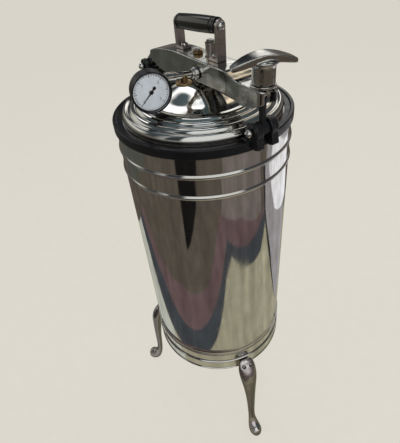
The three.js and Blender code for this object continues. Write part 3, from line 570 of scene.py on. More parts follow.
@as_material
def dial_white(graph):
    age = graph.remap(graph.noise(18, 5), 0.35, 0.7)
    graph.surface(
        base_color=graph.mix(age, (0.80, 0.84, 0.90, 1), (0.74, 0.77, 0.80, 1)), metallic=0.0,
        roughness=graph.remap(age, 0.0, 1.0, 0.35, 0.55), normal=graph.bump((graph.noise(0.8, 3), 0.01)))


@as_material
def gauge_glass(graph):
    """Clear glass that is seen by its reflections, with a faint film of dust."""
    film = graph.remap(graph.noise(14, 5), 0.4, 0.75, 0.0, 0.05)
    ripple = graph.bump((graph.noise(20, 2), 0.02))
    shine = graph.add("ShaderNodeBsdfGlossy", {"Roughness": 0.03, "Normal": ripple})
    dust = graph.add("ShaderNodeBsdfDiffuse", {"Color": (0.8, 0.82, 0.84, 1)})
    clear = graph.add("ShaderNodeBsdfTransparent")
    facing = graph.add("ShaderNodeFresnel", {"IOR": 1.35})
    body = graph.add("ShaderNodeMixShader", {0: film, 1: clear, 2: dust})
    pane = graph.add("ShaderNodeMixShader", {0: facing, 1: body, 2: shine})
    graph.add("ShaderNodeOutputMaterial", {"Surface": pane})


# ---- Drum ------------------------------------------------------------------------------------------


def bead(radius, z, proud, half):
    """A rolled bead that stands out from a sheet."""
    rise = [(-1, 0), (-0.72, 0.16), (-0.42, 0.75), (0, 1), (0.42, 0.75), (0.72, 0.16), (1, 0)]
    return [(radius + proud * out, z + half * up) for up, out in rise]


def drum():
    low, high = JACKET_LOW, COLLAR_LOW + 1.2
    step = DRUM_R + 1
    jacket = [
        (DRUM_R - 1.5, low), (step, low),
        *bead(step, SKIRT_LOW + 64, 1.8, 4), *bead(step, SKIRT_LOW + 76, 1.6, 4),
        (step, SKIRT_LOW + 82.4), (DRUM_R, SKIRT_LOW + 83.6),
        *bead(DRUM_R, SKIRT_LOW + 547, 2.6, 5), *bead(DRUM_R, SKIRT_LOW + 587.5, 2.6, 5),
        (DRUM_R, high), (DRUM_R - 1.5, high)]
    piece("drum_jacket", lathe(jacket, LARGE), "outer_jacket", sharp=60)
    outer, inner = DRUM_R + 2.6, DRUM_R - 2
    skirt = [
        (inner, SKIRT_LOW), *bead(outer - 0.6, SKIRT_LOW + 3, 2.0, 3),
        *bead(outer - 0.6, SKIRT_HIGH - 3, 2.0, 3), (inner, SKIRT_HIGH)]
    piece("drum_skirt", lathe(skirt, LARGE), "base_skirt", sharp=60)


def collar():
    inner = DRUM_R + 0.6
    profile = [
        (inner, COLLAR_LOW), (COLLAR_R, COLLAR_LOW),
        (COLLAR_R, COLLAR_HIGH - 1.4), (COLLAR_R - 1, COLLAR_HIGH),
        (DRUM_R - 2.5, COLLAR_HIGH), (DRUM_R - 3.5, COLLAR_HIGH - 2.4), (LID_R + 1.9, COLLAR_HIGH - 2.4),
        (LID_R + 1.9, COLLAR_LOW + 5.5), (LID_R - 6.4, COLLAR_LOW + 5.5), (LID_R - 6.4, COLLAR_LOW + 1.5),
        (inner, COLLAR_LOW + 1.5)]
    piece("drum_collar", turned(profile, 0.9, LARGE), "collar_ring")


def leg_rings():
    """Rings of points round a leg that points along +X: out from its pad, down and into a ball foot."""
    stations = spline([
        # distance from the axis, height, half thickness in the bend's plane, half width across it
        (169, 288, 3, 11), (170, 285, 5.5, 16), (173, 275, 8.5, 20.5), (178, 262, 12, 22.5),
        (184, 246, 15, 22.5), (188.5, 230, 15, 21), (192, 211, 13.5, 18.5), (195.5, 186, 12, 15.5),
        (199, 155, 10.2, 12.8), (202, 120, 8.8, 10.8), (204, 88, 8, 9.6), (206.5, 62, 7.8, 9.2),
        (210, 43, 9, 10.2), (217, 27, 13, 13.5), (227, 15, 19.5, 16.5), (237, 12, 18.5, 15.8),
        (245, 10.5, 13, 11), (248.5, 10.5, 5, 4.5)], 4)
    sides = 40
    rings = []
    for i, (x, z, thick, wide) in enumerate(stations):
        before, after = stations[max(i - 1, 0)], stations[min(i + 1, len(stations) - 1)]
        along = Vector((after[0] - before[0], after[1] - before[1])).normalized()
        ring = []
        for j in range(sides):
            out, across = math.cos(TURN * j / sides), math.sin(TURN * j / sides)
            px, pz = x - along.y * thick * out, z + along.x * thick * out
            if pz > SKIRT_LOW - 6:
                px = max(px, LEG_SEAT)
            ring.append(Vector((px, wide * across, max(pz, 0))))
        rings.append(ring)
    return rings


LEG_SEAT = DRUM_R + 4.4
LEG_SCREW_X = LEG_SEAT + 14
LEG_SCREW_Z = SKIRT_LOW + 20


def screw_head(radius, height, slot=1.1):
    """A domed and slotted head standing on Z = 0."""
    dome = turned([(0, -0.4), (radius, -0.4), (radius, 0.35 * height), (0.75 * radius, 0.85 * height),
                   (0.35 * radius, height), (0, height)], 0.5, 40)
    groove = block(-slot / 2, slot / 2, -2 * radius, 2 * radius, 0.45 * height, 2 * height)
    return combine(dome, "DIFFERENCE", groove)


def legs():
    cast_leg = loft(leg_rings())
    seat = lathe([(0, LEG_SCREW_X - 0.5), (4.9, LEG_SCREW_X - 0.5), (4.9, 215), (0, 215)])
    bore = along_x(seat, 0, LEG_SCREW_Z)
    cast_leg = combine(cast_leg, "DIFFERENCE", shift(bore, y=9), shift(bore, y=-9))
    head = along_x(shift(screw_head(4.5, 3.8), z=LEG_SCREW_X), 0, LEG_SCREW_Z)
    for name, azimuth in LEG_AZIMUTHS.items():
        turn = Matrix.Rotation(math.radians(azimuth), 4, "Z")
        piece(f"cast_leg_{name}", place(cast_leg, turn), f"leg_{name}", look="leg_casting", sharp=50)
        for side, y in (("left", 9), ("right", -9)):
            screw = place(shift(head, y=y), turn)
            piece(f"leg_{name}_slotted_screw_{side}", screw, f"leg_{name}_screw_{side}")


# ---- Inside the drum -------------------------------------------------------------------------------


def chamber():
    low, high = span("pressure_chamber")
    inner, wall, dish = 128, 3, 26
    flange = high.x

    def floor(radius, bottom):
        return [(radius * math.sin(a), bottom + dish * (1 - math.cos(a)))
                for a in (math.pi / 2 * i / 24 for i in range(25))]

    shell = [*floor(inner + wall, low.z), (inner + wall, high.z - 5), (flange, high.z - 5), (flange, high.z),
             (inner + 1, high.z), (inner, high.z - 1), *reversed(floor(inner, low.z + wall))]
    piece("chamber_shell", lathe(shell, LARGE), "pressure_chamber", sharp=45)
    gasket_low, gasket_high = span("lid_gasket")
    ring = [(130, gasket_low.z), (144, gasket_low.z), (144, gasket_high.z), (130, gasket_high.z)]
    piece("lid_seal", turned(ring, 1.4, LARGE), "lid_gasket")


def flame_shield():
    low, high = span("flame_ring")
    edge = high.x
    profile = [(95, high.z), (100, low.z), (edge, low.z),
               (edge, low.z + 2.5), (101, low.z + 2.5), (97, high.z)]
    piece("burner_ring", turned(profile, 1.0, LARGE), "flame_ring")


def perforated_wall(radius, low, high, columns, rows, share):
    """A cylinder of square cells, each with a round hole of a share of the cell's size."""
    corners = [(-1, -1), (0, -1), (1, -1), (1, 0), (1, 1), (0, 1), (-1, 1), (-1, 0)]
    cell_height = (high - low) / rows
    points, faces = [], []
    for row in range(rows):
        for column in range(columns):
            start = len(points)
            for reach in (1.0, share):
                for i, (u, v) in enumerate(corners):
                    if reach < 1:
                        angle = TURN * (i - 3) / 8
                        u, v = reach * math.cos(angle), reach * math.sin(angle)
                    around = TURN * (column + 0.5 + u / 2) / columns
                    height = low + cell_height * (row + 0.5 + v / 2)
                    points.append(Vector((radius * math.cos(around), radius * math.sin(around), height)))
            for i in range(8):
                k = (i + 1) % 8
                faces.append([start + i, start + k, start + 8 + k, start + 8 + i])
    return points, faces


def basket():
    low, high = span("basket")
    radius = 115
    wall = new_object("basket_wall", perforated_wall(radius - 0.6, low.z + 14, high.z - 14, 60, 26, 0.5))
    weld = wall.modifiers.new("weld", "WELD")
    weld.merge_threshold = 0.05 * MM
    thick = wall.modifiers.new("sheet", "SOLIDIFY")
    thick.thickness = 1.0 * MM
    thick.offset = 0
    bake(wall)
    mesh_part = to_shape(wall)
    discard(wall)
    inside = radius - 1.2
    pan = lathe([
        (0, low.z), (radius - 2, low.z), (radius, low.z + 2), (radius, low.z + 14.2), (inside, low.z + 14.2),
        (inside, low.z + 2.5), (radius - 2.5, low.z + 1.2), (0, low.z + 1.2)], LARGE)
    rim = lathe([
        (inside, high.z - 14.2), (radius, high.z - 14.2), (radius, high.z - 4),
        (radius + 1.8, high.z - 2.6), (radius + 1.8, high.z - 1.4), (radius, high.z),
        (inside, high.z)], LARGE)
    piece("perforated_basket", merge(mesh_part, pan, rim), "basket")
    bail_z = sum(c.z for c in span("basket_bail")) / 2
    path = [Vector((*p, bail_z)) for p in arc(0, 0, radius - 6, 0, 180, 60)]
    piece("bail_wire", tube(path, [2.4] * len(path), 16), "basket_bail")


def trivet():
    low, high = span("trivet")
    plate_shape = turned([(0, high.z - 2), (123, high.z - 2), (123, high.z), (0, high.z)], 0.6, LARGE)
    foot = turned([(0, low.z), (4, low.z), (4, high.z - 1), (0, high.z - 1)], 1)
    feet = [shift(foot, 90 * math.cos(a), 90 * math.sin(a)) for a in (TURN * i / 3 for i in range(3))]
    piece("trivet_plate", merge(plate_shape, *feet), "trivet")


# ---- Lid and bridge --------------------------------------------------------------------------------


def lid():
    rise = [(LID_R - 1.4, 0), (LID_R - 0.4, 1.6), (LID_R, 4.2), (LID_R - 0.3, 7), (LID_R - 1.4, 10.2),
            (LID_R - 3.1, 12.8), (LID_R - 4.8, 14.2), (138.6, 14.7),
            (136.4, 13.4), (135, 12.3), (133, 11.9), (131.4, 12.3), (130, 14.6), (128, 16.9), (125, 18.0),
            (122, 18.1), (120.4, 17.2), (119, 17.2), (117, 19.6), (115, 21.0), (112, 22.0), (109.6, 21.6),
            (108, 20.6), (106.6, 20.7), (104.6, 22.8), (102, 24.2), (98, 25.0), (94, 25.0), (91.6, 24.1),
            (89, 24.0)]
    cone = spline([(89, 24.0), (80, 26.8), (72, 29.8), (58, 36.6), (44, 43.4), (32, 48.2),
                   (20, 50.4), (0, LID_HIGH - LID_LOW)], 5)
    under = spline([(0, 46.5), (24, 45), (60, 31.4), (90, 19), (118, 10.5), (129.5, 0)], 5)
    shell = lathe([(r, LID_LOW + z) for r, z in under + rise + cone[1:]], LARGE)
    piece("domed_lid", shell, "lid", sharp=60)


BRIDGE_HALF = 22.4
KNUCKLE_HALF = 13
NOSE_HALF = 17.5
NOSE_END = -180.5
NOSE_CORNER = 9


def bridge_plan():
    """The bridge seen from above: parallel sides that draw in to a rounded nose."""
    side = [(BRIDGE_HALF, 200), (BRIDGE_HALF, -100)] + spline(
        [(BRIDGE_HALF, -104), (BRIDGE_HALF - 1.8, -118), (NOSE_HALF + 0.8, -134), (NOSE_HALF, -150)], 4)
    corner = arc(NOSE_HALF - NOSE_CORNER, NOSE_END + NOSE_CORNER, NOSE_CORNER, 0, -90, 8)
    half = side + corner
    return half + [(-x, y) for x, y in reversed(half)]


def bridge():
    flank = 7
    top = spline([(138, 962), (133, 970.5), (110, 977), (80, 982.5), (45, BRIDGE_TOP), (0, BRIDGE_TOP),
                  (-60, BRIDGE_TOP), (-98, BRIDGE_TOP), (-110, 982), (-122, 976.4), (-134, PAD_TOP)], 5)
    nose = [(-172, PAD_TOP), (-180, 972.6), (-184, 970.4), (-185, 966), (-185, 957)]
    under = spline([(-181, 955), (-160, 945), (-140, 941.6), (-118, 947), (-80, 950.4), (0, 950.4), (40, 945),
                    (80, 939.5), (112, 945), (132, 952)], 5)
    tongue = spline([(118, 974), (134, 968.5), (152, 960.5), (170, 948), (182, 937)], 5) + spline(
        [(172, 922), (160, 934), (145, 944), (118, 950)], 5)
    inner = BRIDGE_HALF - flank
    nose_inner = NOSE_HALF - flank
    side_view = plate(top + nose + under, -BRIDGE_HALF - 2, BRIDGE_HALF + 2, "X")
    solid = combine(side_view, "INTERSECT", plate(bridge_plan(), 900, 1000, "Z"))
    solid = combine(
        solid, "DIFFERENCE",
        block(-inner, inner, -106, 88, 900, BRIDGE_TOP - flank - 1.5),
        block(-nose_inner, nose_inner, -200, -105, 900, PAD_TOP - flank))
    knuckle = along_x(lathe([(0, -KNUCKLE_HALF), (12, -KNUCKLE_HALF), (12, KNUCKLE_HALF), (0, KNUCKLE_HALF)]),
                      HINGE_Y, HINGE_Z)
    tail = plate(tongue, -KNUCKLE_HALF, KNUCKLE_HALF, "X")
    solid = combine(solid, "UNION", tail, knuckle)
    slot = block(-7, 7, -200, BOLT_Y, 900, 1000)
    slot_end = shift(lathe([(0, 900), (7, 900), (7, 1000), (0, 1000)]), y=BOLT_Y)
    relief_hole = shift(lathe([(0, 900), (9.3, 900), (9.3, 1000), (0, 1000)]), *RELIEF_AT)
    pin_hole = along_x(lathe([(0, -40), (5.3, -40), (5.3, 40), (0, 40)]), HINGE_Y, HINGE_Z)
    pipe_hole = rod_between(pipe_at(-12), pipe_at(-40), 5.8)
    solid = combine(solid, "DIFFERENCE", slot, slot_end, relief_hole, pin_hole, pipe_hole)
    piece("cast_bridge", cast(solid, 0.85, 14), "bridge", look="cast_steel", sharp=80)


def lid_fixings():
    plate_under = BRIDGE_TOP - 8.5
    stud = turned([
        (0, LID_HIGH + GAP), (13, LID_HIGH + GAP), (13, LID_HIGH + 5), (5, LID_HIGH + 9),
        (5, plate_under - 6), (12, plate_under - 5), (12, plate_under - GAP), (5, plate_under - GAP),
        (5, BRIDGE_TOP + 6.4), (3.9, BRIDGE_TOP + 7.5), (0, BRIDGE_TOP + 7.5)], 0.8)
    piece("lid_centre_stud", stud, "lid_stud")
    top = BRIDGE_TOP + 6.3
    crown = turned([(0, BRIDGE_TOP + 5), (6.9, BRIDGE_TOP + 5), (6.2, top), (0, top)])
    body = nut(9, BRIDGE_TOP + GAP, BRIDGE_TOP + 5.7)
    piece("bronze_nut", merge(body, crown), "stud_nut", bevel=0.3)


# ---- Carrying handle -------------------------------------------------------------------------------

POSTS = {"front": -65, "rear": 54}
POST_SCREWS = {"front": -52, "rear": 41}
POST_HALF = 8.8
POST_THICKNESS = 5


def on_handle(shape):
    """Sets a shape turned about Z on the handle's sloping axis, its +Z end to the rear."""
    lean = Matrix.Rotation(HANDLE_SLOPE - math.pi / 2, 4, "X")
    return place(shape, Matrix.Translation((0, 0, HANDLE_Z)) @ lean)


def handle_post(end):
    y = POSTS[end]
    inward = 1 if y < 0 else -1
    low = BRIDGE_TOP + GAP
    crest = arc(0, HANDLE_Z + y * math.tan(HANDLE_SLOPE), POST_HALF, 0, 180, 24)
    strap = [(-POST_HALF, low), (POST_HALF, low), *crest]
    upright = plate(strap, y - POST_THICKNESS / 2, y + POST_THICKNESS / 2, "Y")
    toe = y + inward * 21
    foot = block(-POST_HALF, POST_HALF, min(y, toe), max(y, toe), low, low + POST_THICKNESS)
    post = combine(upright, "UNION", foot)
    piece(f"satin_post_{end}", post, f"handle_post_{end}", bevel=0.7)
    seat = low + POST_THICKNESS + GAP
    head = shift(screw_head(6.2, 4.8, 1.4), y=POST_SCREWS[end], z=seat)
    piece(f"post_slotted_screw_{end}", head, f"post_screw_{end}")


def handle():
    for end in POSTS:
        handle_post(end)
    play = 0.9
    low = POSTS["front"] - POST_THICKNESS / 2 - play
    high = POSTS["rear"] + POST_THICKNESS / 2 + play
    rod = turned([
        (0, low - 4.8), (3.4, low - 4.3), (5.2, low - 3), (6.2, low - 1.6), (6.2, low), (4, low), (4, high),
        (6.2, high), (6.2, high + 1.6), (5.2, high + 3), (3.4, high + 4.3), (0, high + 4.8)], 0.5)
    piece("handle_spindle", on_handle(rod), "handle_rod")
    inset = POST_THICKNESS / 2 + play + 0.6
    start, stop = POSTS["front"] + inset, POSTS["rear"] - inset
    middle, half = (start + stop) / 2, (stop - start) / 2
    section = [(10, half), (11.4, half - 0.6), (11.8, half - 2), (11.8, half - 5), (11.2, half - 6),
               (10.5, half - 6.6), (10.5, half - 8.6), (11.2, half - 9.2), (12, half - 10.4),
               (12.3, 30), (12.6, 10)]
    front = [(r, middle - h) for r, h in section]
    rear = [(r, middle + h) for r, h in reversed(section)]
    profile = [(4.3, start), *front, *rear, (4.3, stop)]
    piece("bakelite_grip", on_handle(turned(profile, 0.6, 96)), "handle_grip")


# ---- Hinge, bolt and wing nut ----------------------------------------------------------------------

SEAT_Z = COLLAR_HIGH + GAP
LUG_INNER = LID_R + 3.2
LUG_OUTER = COLLAR_R + GAP


def ear(pin_y, pin_z, radius, outward, toe):
    """A lug's ear in Y and Z: round about its pin, with a foot on the collar and a toe outside it."""
    foot = [(outward * LUG_INNER, SEAT_Z), (outward * LUG_OUTER, SEAT_Z),
            (outward * LUG_OUTER, SEAT_Z - 0.86 * toe), (outward * (LUG_OUTER + 7), SEAT_Z - toe),
            (outward * (LUG_OUTER + 17), SEAT_Z - 0.72 * toe)]
    return foot + [(pin_y + outward * u, pin_z + v) for u, v in arc(0, 0, radius, -25, 165, 20)]


def hinge():
    outline = ear(HINGE_Y, HINGE_Z, 13, 1, 28)
    near, far = KNUCKLE_HALF + 0.6, KNUCKLE_HALF + 9
    body = combine(
        plate(outline, near, far, "X"), "UNION", plate(outline, -far, -near, "X"),
        block(-26, 26, LUG_INNER, LUG_OUTER + 1, SEAT_Z, SEAT_Z + 4.5),
        block(-18, 18, LUG_OUTER, HINGE_Y + 10, SEAT_Z - 18, HINGE_Z - 14))
    piece("cast_hinge_bracket", cast(body, 0.8, 6, 0.5), "hinge_bracket", sharp=80)
    pin = ball_pin(KNUCKLE_HALF + 9.5, HINGE_Y, HINGE_Z)
    piece("hinge_ball_pin", pin, "hinge_pin")


def ball_pin(half, y, z):
    ball = 6.5
    centre = half + 0.6 * ball
    start = math.degrees(math.acos(3.4 / ball))
    tip = [(ball * math.cos(math.radians(a)), centre + ball * math.sin(math.radians(a)))
           for a in (-start + (90 + start) * i / 20 for i in range(20))]
    profile = [(5, half - 3.5), (5, half - 1.2), *tip]
    mirrored = [(r, -h) for r, h in reversed(profile)]
    return along_x(lathe([(0, -centre - ball), *mirrored, *profile, (0, centre + ball)]), y, z)


def bolt_lug():
    outline = ear(BOLT_Y, BOLT_PIVOT_Z, 15, -1, 13)
    near, far = 7.8, 21
    body = combine(
        plate(outline, near, far, "X"), "UNION", plate(outline, -far, -near, "X"),
        block(-29, 29, -LUG_OUTER + 2, -LUG_INNER, SEAT_Z, BOLT_PIVOT_Z - 11.3),
        block(-18, 18, BOLT_Y + 12, -LUG_INNER, SEAT_Z, BOLT_PIVOT_Z + 6))
    piece("cast_bolt_lug", cast(body, 0.8, 7, 0.7), "bolt_lug", sharp=80)
    piece("lug_ball_pin", ball_pin(21.5, BOLT_Y, BOLT_PIVOT_Z), "lug_pin")


def threaded(radius, low, high, pitch=1.75, depth=1.0):
    """A screwed bar about Z: its surface dips once in each pitch, and the dip climbs as it goes round."""
    sides, steps = 48, 8
    rings = []
    for i in range(int((high - low) / pitch * steps) + 1):
        z = low + pitch * i / steps
        ring = []
        for j in range(sides):
            phase = (z / pitch - j / sides) % 1
            r = radius - depth * abs(2 * phase - 1)
            ring.append(Vector((r * math.cos(TURN * j / sides), r * math.sin(TURN * j / sides), z)))
        rings.append(ring)
    return loft(rings)


def swing_bolt():
    eye = along_x(turned([(5.3, -7), (11, -7), (11, 7), (5.3, 7)], 1.2), BOLT_Y, BOLT_PIVOT_Z)
    top = span("swing_bolt")[1].z
    foot = BOLT_PIVOT_Z + 7
    shank = shift(turned([(0, foot), (5.5, foot), (5.5, 962), (4.9, 963), (0, 963)], 0.6), y=BOLT_Y)
    screw = shift(threaded(5.5, 962.5, top), y=BOLT_Y)
    piece("eye_bolt", merge(eye, shank, screw), "swing_bolt")
    low, high = span("thrust_washer")
    washer = shift(turned([(6, low.z), (high.x, low.z), (high.x, high.z), (6, high.z)], 0.8), y=BOLT_Y)
    piece("domed_washer", washer, "thrust_washer")


def wing_nut():
    low = span("wing_nut")[0].z
    crown = spline([(-48, 1006), (-38, 1011), (-20, 1017), (0, 1020), (20, 1017), (38, 1011), (48, 1006)], 6)
    under = spline(
        [(47, 1001), (36, 1003.5), (20, 1007), (0, 1009), (-20, 1007), (-36, 1003.5), (-47, 1001)], 6)
    arch = plate(crown + under, -15, 15, "Y")
    leaf = spline([(48, -2.5), (45, -7.5), (30, -12), (12, -14), (0, -14.4)], 5)
    side = leaf + [(-x, y) for x, y in reversed(leaf[:-1])]
    plan = plate(side + [(-x, -y) for x, y in side], 980, 1025, "Z")
    barrel = lathe([(0, low), (16.7, low), (16.7, 1002), (18, 1005),
                    (20.5, 1007), (20.5, 1010), (12, 1014), (0, 1014)])
    solid = combine(combine(arch, "INTERSECT", plan), "UNION", barrel)
    solid = combine(solid, "DIFFERENCE", lathe([(0, low - 5), (5.8, low - 5), (5.8, 1006), (0, 1006)]))
    turn = Matrix.Translation((0, BOLT_Y, 0)) @ Matrix.Rotation(math.radians(-20), 4, "Z")
    piece("cast_wing_nut", place(cast(solid, 0.7, 8), turn), "wing_nut", look="cast_steel", sharp=80)


# ---- Fittings on the lid ---------------------------------------------------------------------------

PIPE_RADIUS = 5
PIPE_AT_GAUGE = Vector((-84, -23, 973))
PIPE_AT_WALL = Vector((-18.5, -28, 964.6))
OUTLET_X = joint_at("exhaust_turn").x


def pipe_at(x):
    """The point on the gauge pipe's axis at a place across the bridge."""
    return PIPE_AT_WALL.lerp(PIPE_AT_GAUGE, (x - PIPE_AT_WALL.x) / (PIPE_AT_GAUGE.x - PIPE_AT_WALL.x))


def on_pipe(shape):
    """Sets a shape turned about Z on the pipe's axis, where Z runs out from the bridge's middle."""
    outward = (PIPE_AT_GAUGE - PIPE_AT_WALL).normalized()
    return place(shape, Matrix.Translation(pipe_at(0)) @ outward.to_track_quat("Z", "Y").to_matrix().to_4x4())


def rod_between(start, end, radius):
    return tube([start, end], [radius, radius], 40)


def gauge_plumbing():
    reach = CASE_R + GAP
    gauge_room = place(lathe([(0, -19), (reach, -19), (reach, 9), (0, 9)], LARGE), GAUGE_FRAME)
    pipe = on_pipe(lathe([(0, -2.4), (PIPE_RADIUS, -2.4), (PIPE_RADIUS, 90), (0, 90)]))
    swell = on_pipe(turned([(4.9, 62), (6.6, 62), (6.6, 82), (4.9, 82)], 1.6))
    stem = merge(combine(pipe, "DIFFERENCE", gauge_room), combine(swell, "DIFFERENCE", gauge_room))
    piece("gauge_stem", stem, "gauge_pipe")
    collar_ring = [(5.4, 23.6), (10, 23.6), (10, 29.6), (8.4, 31), (7.8, 31.6), (7.8, 34), (5.4, 34)]
    bridge_side = block(-BRIDGE_HALF - GAP, 0, -60, 0, 900, 1000)
    clamp_nut = combine(on_pipe(turned(collar_ring, 0.8)), "DIFFERENCE", bridge_side)
    piece("pipe_clamp_nut", clamp_nut, "pipe_nut")


def exhaust():
    x, y, z = pipe_at(OUTLET_X)
    low, high = span("exhaust_wheel")
    rim = high.z - 3
    sleeve = shift(turned([(2.9, rim + GAP), (6.5, rim + GAP), (6.5, z), (2.9, z)], 0.6), x, y)
    body = combine(sleeve, "DIFFERENCE", rod_between(pipe_at(-70), pipe_at(-30), 5.3))
    boss = piece("outlet_boss", body, "exhaust_valve")
    wheel = turned([
        (0, low.z), (4, low.z), (4.6, rim - 4.2), (9, rim - 3.6), (12.4, rim - 4.4), (14, rim - 3.4),
        (14, rim - 0.9), (12.6, rim), (10.4, rim - 0.7), (6, rim - 0.2), (2.6, rim), (2.6, high.z),
        (0, high.z)], 0.6, 96)
    notches = [place(lathe([(0, -9), (1.1, -9), (1.1, 9), (0, 9)], 12),
                     Matrix.Rotation(TURN * i / 28, 4, "Z") @ Matrix.Translation((14.5, 0, rim)))
               for i in range(28)]
    wheel = combine(wheel, "DIFFERENCE", merge(*notches))
    milled = piece("milled_wheel", shift(wheel, x, y), "exhaust_wheel")
    for obj in (boss, milled):
        obj.visible_glossy = False  # keeps their image off the polished lid


def relief_valve():
    top = span("relief_body")[1].z
    post = [(0, 935), (11, 935), (11, LID_HIGH + 3), (8.5, LID_HIGH + 5), (8.5, top - 3),
            (9, top - 2), (9, top - 0.8), (7.4, top), (0, top)]
    well = lathe([(0, BRIDGE_TOP + 3), (6, BRIDGE_TOP + 3), (6, top + 4), (0, top + 4)])
    column = combine(shift(turned(post, 0.5), *RELIEF_AT), "DIFFERENCE",
                     rod_between(pipe_at(-30), pipe_at(2.7), 5.3), shift(well, *RELIEF_AT))
    piece("relief_column", column, "relief_body")
    low, high = span("relief_knob")
    knob = turned([(0, low.z), (5.4, low.z), (5.4, top + 0.4), (6.6, top + 0.8), (6.6, top + 2.4),
                   (5, high.z - 0.2), (0, high.z)], 0.6)
    piece("relief_weight", shift(knob, *RELIEF_AT), "relief_knob")


# ---- Pressure gauge --------------------------------------------------------------------------------

GAUGE_INWARD = JOINTS["pointer_turn"]["axis"]
GAUGE_TURN = math.atan2(-GAUGE_INWARD[0], GAUGE_INWARD[1])
GAUGE_FRAME = (Matrix.Translation(joint_at("pointer_turn")) @ Matrix.Rotation(GAUGE_TURN, 4, "Z")
               @ Matrix.Rotation(math.pi / 2, 4, "X"))
CASE_R = 31.5
DIAL_Z = 5
DIAL_R = 29.1
ZERO_MARK = 225  # degrees from the dial's right, anticlockwise
SWEEP = 270


def gauge_piece(name, shape, node, **settings):
    piece(name, place(shape, GAUGE_FRAME), node, **settings)


def dial_numbers():
    """Plain figures from 0 to 3 round the dial, and a tick for each tenth part between."""
    shapes = []
    for i in range(31):
        angle = math.radians(ZERO_MARK - SWEEP * i / 30)
        long_tick = i % 5 == 0
        inner, half = (DIAL_R - 6.2, 0.5) if long_tick else (DIAL_R - 4.4, 0.32)
        tick = block(inner, DIAL_R - 2, -half, half, 0, 0.08)
        shapes.append(place(tick, Matrix.Rotation(angle, 4, "Z")))
    inner, outer = DIAL_R - 2.2, DIAL_R - 1.9
    shapes.append(lathe([(inner, 0), (outer, 0), (outer, 0.08), (inner, 0.08)], 128))
    for number in range(4):
        curve = bpy.data.curves.new("figure", "FONT")
        curve.body = str(number)
        curve.size = 7 * MM
        curve.align_x = "CENTER"
        curve.align_y = "CENTER"
        curve.extrude = 0.04 * MM
        text = bpy.data.objects.new("figure", curve)
        bpy.context.scene.collection.objects.link(text)
        bpy.context.view_layer.update()
        mesh = bpy.data.meshes.new_from_object(text.evaluated_get(bpy.context.evaluated_depsgraph_get()))
        angle = math.radians(ZERO_MARK - SWEEP * number / 3)
        at = Vector((math.cos(angle), math.sin(angle), 0)) * (DIAL_R - 10.5)
        shapes.append(([v.co / MM + at for v in mesh.vertices], [list(f.vertices) for f in mesh.polygons]))
        bpy.data.objects.remove(text)
    return shift(merge(*shapes), z=DIAL_Z + 0.8)


def gauge():
    front = 8.5
    case = [(0, -18), (CASE_R - 5, -18), (CASE_R - 1.5, -16.6), (CASE_R, -13), (CASE_R, front),
            (CASE_R - 2, front), (CASE_R - 2, -13.5), (CASE_R - 4.5, -16), (0, -16)]
    gauge_piece("gauge_can", turned(case, 1.2, 96), "gauge_case")
    low = front + GAP
    bezel = [(CASE_R - 0.9, low), (CASE_R + 1, low), (CASE_R + 1, low + 3), (CASE_R + 0.4, low + 4.2),
             (CASE_R - 0.9, low + 3.9), (CASE_R - 1.5, low + 2.6), (CASE_R - 0.9, low + 2.6)]
    gauge_piece("gauge_rim", turned(bezel, 0.4, 96), "gauge_bezel", slot="black_collar")
    glass = [(0, low), (CASE_R - 1.2, low), (CASE_R - 1.2, low + 1.8), (0, low + 1.8)]
    gauge_piece("gauge_window", turned(glass, 0.3, 96), "gauge_glass")
    dial = [(1.6, DIAL_Z), (DIAL_R, DIAL_Z), (DIAL_R, DIAL_Z + 0.8), (1.6, DIAL_Z + 0.8)]
    gauge_piece("gauge_face", turned(dial, 0.1, 96), "gauge_dial")
    gauge_piece("gauge_marks", dial_numbers(), "gauge_dial", slot="bakelite", extra=True)
    turn = Matrix.Rotation(math.radians(ZERO_MARK - 90), 4, "Z")
    needle = [(-1.3, -9), (1.3, -9), (1.1, 0), (0.4, 23), (-0.4, 23), (-1.1, 0)]
    pointer = merge(
        plate(needle, 0, 0.8, "Z"), shift(turned([(0, 0), (2.6, 0), (2.6, 0.9), (0, 0.9)], 0.2), y=-8),
        turned([(0, -7), (1.1, -7), (1.1, 0), (3.4, 0), (3.4, 1.4), (1.5, 1.9), (0, 1.9)], 0.2))
    pointer = shift(place(pointer, turn), z=DIAL_Z + 1.6)
    gauge_piece("gauge_needle", pointer, "gauge_pointer")
    path = [Vector((*p, -6)) for p in arc(0, 0, 19, -20, 220, 48)]
    gauge_piece("gauge_tube", tube(path, [2.6] * len(path), 16), "bourdon_tube")


# ---- Stage and camera ------------------------------------------------------------------------------

BACKGROUND = srgb(221, 217, 206)


def stage_floor():
    """A pale floor that the camera sees almost flat, with soft shadows."""
    material, graph = new_material("pale_floor")
    speckle = graph.mix(graph.remap(graph.noise(40, 3), 0.3, 0.7), BACKGROUND, srgb(219, 215, 204))
    flat = graph.add("ShaderNodeEmission", {"Color": speckle, "Strength": 1.0})
    lit = graph.add("ShaderNodeBsdfDiffuse", {"Color": BACKGROUND})
    seen = graph.add("ShaderNodeLightPath")
    share = graph.math("MULTIPLY", seen, 0.93)
    shader = graph.add("ShaderNodeMixShader", {0: share, 1: lit, 2: flat})
    graph.add("ShaderNodeOutputMaterial", {"Surface": shader})
    size = 30000
    floor = new_object("floor", block(-size, size, -size, size, -10, 0))
    floor.data.materials.append(material)
    floor.visible_glossy = False


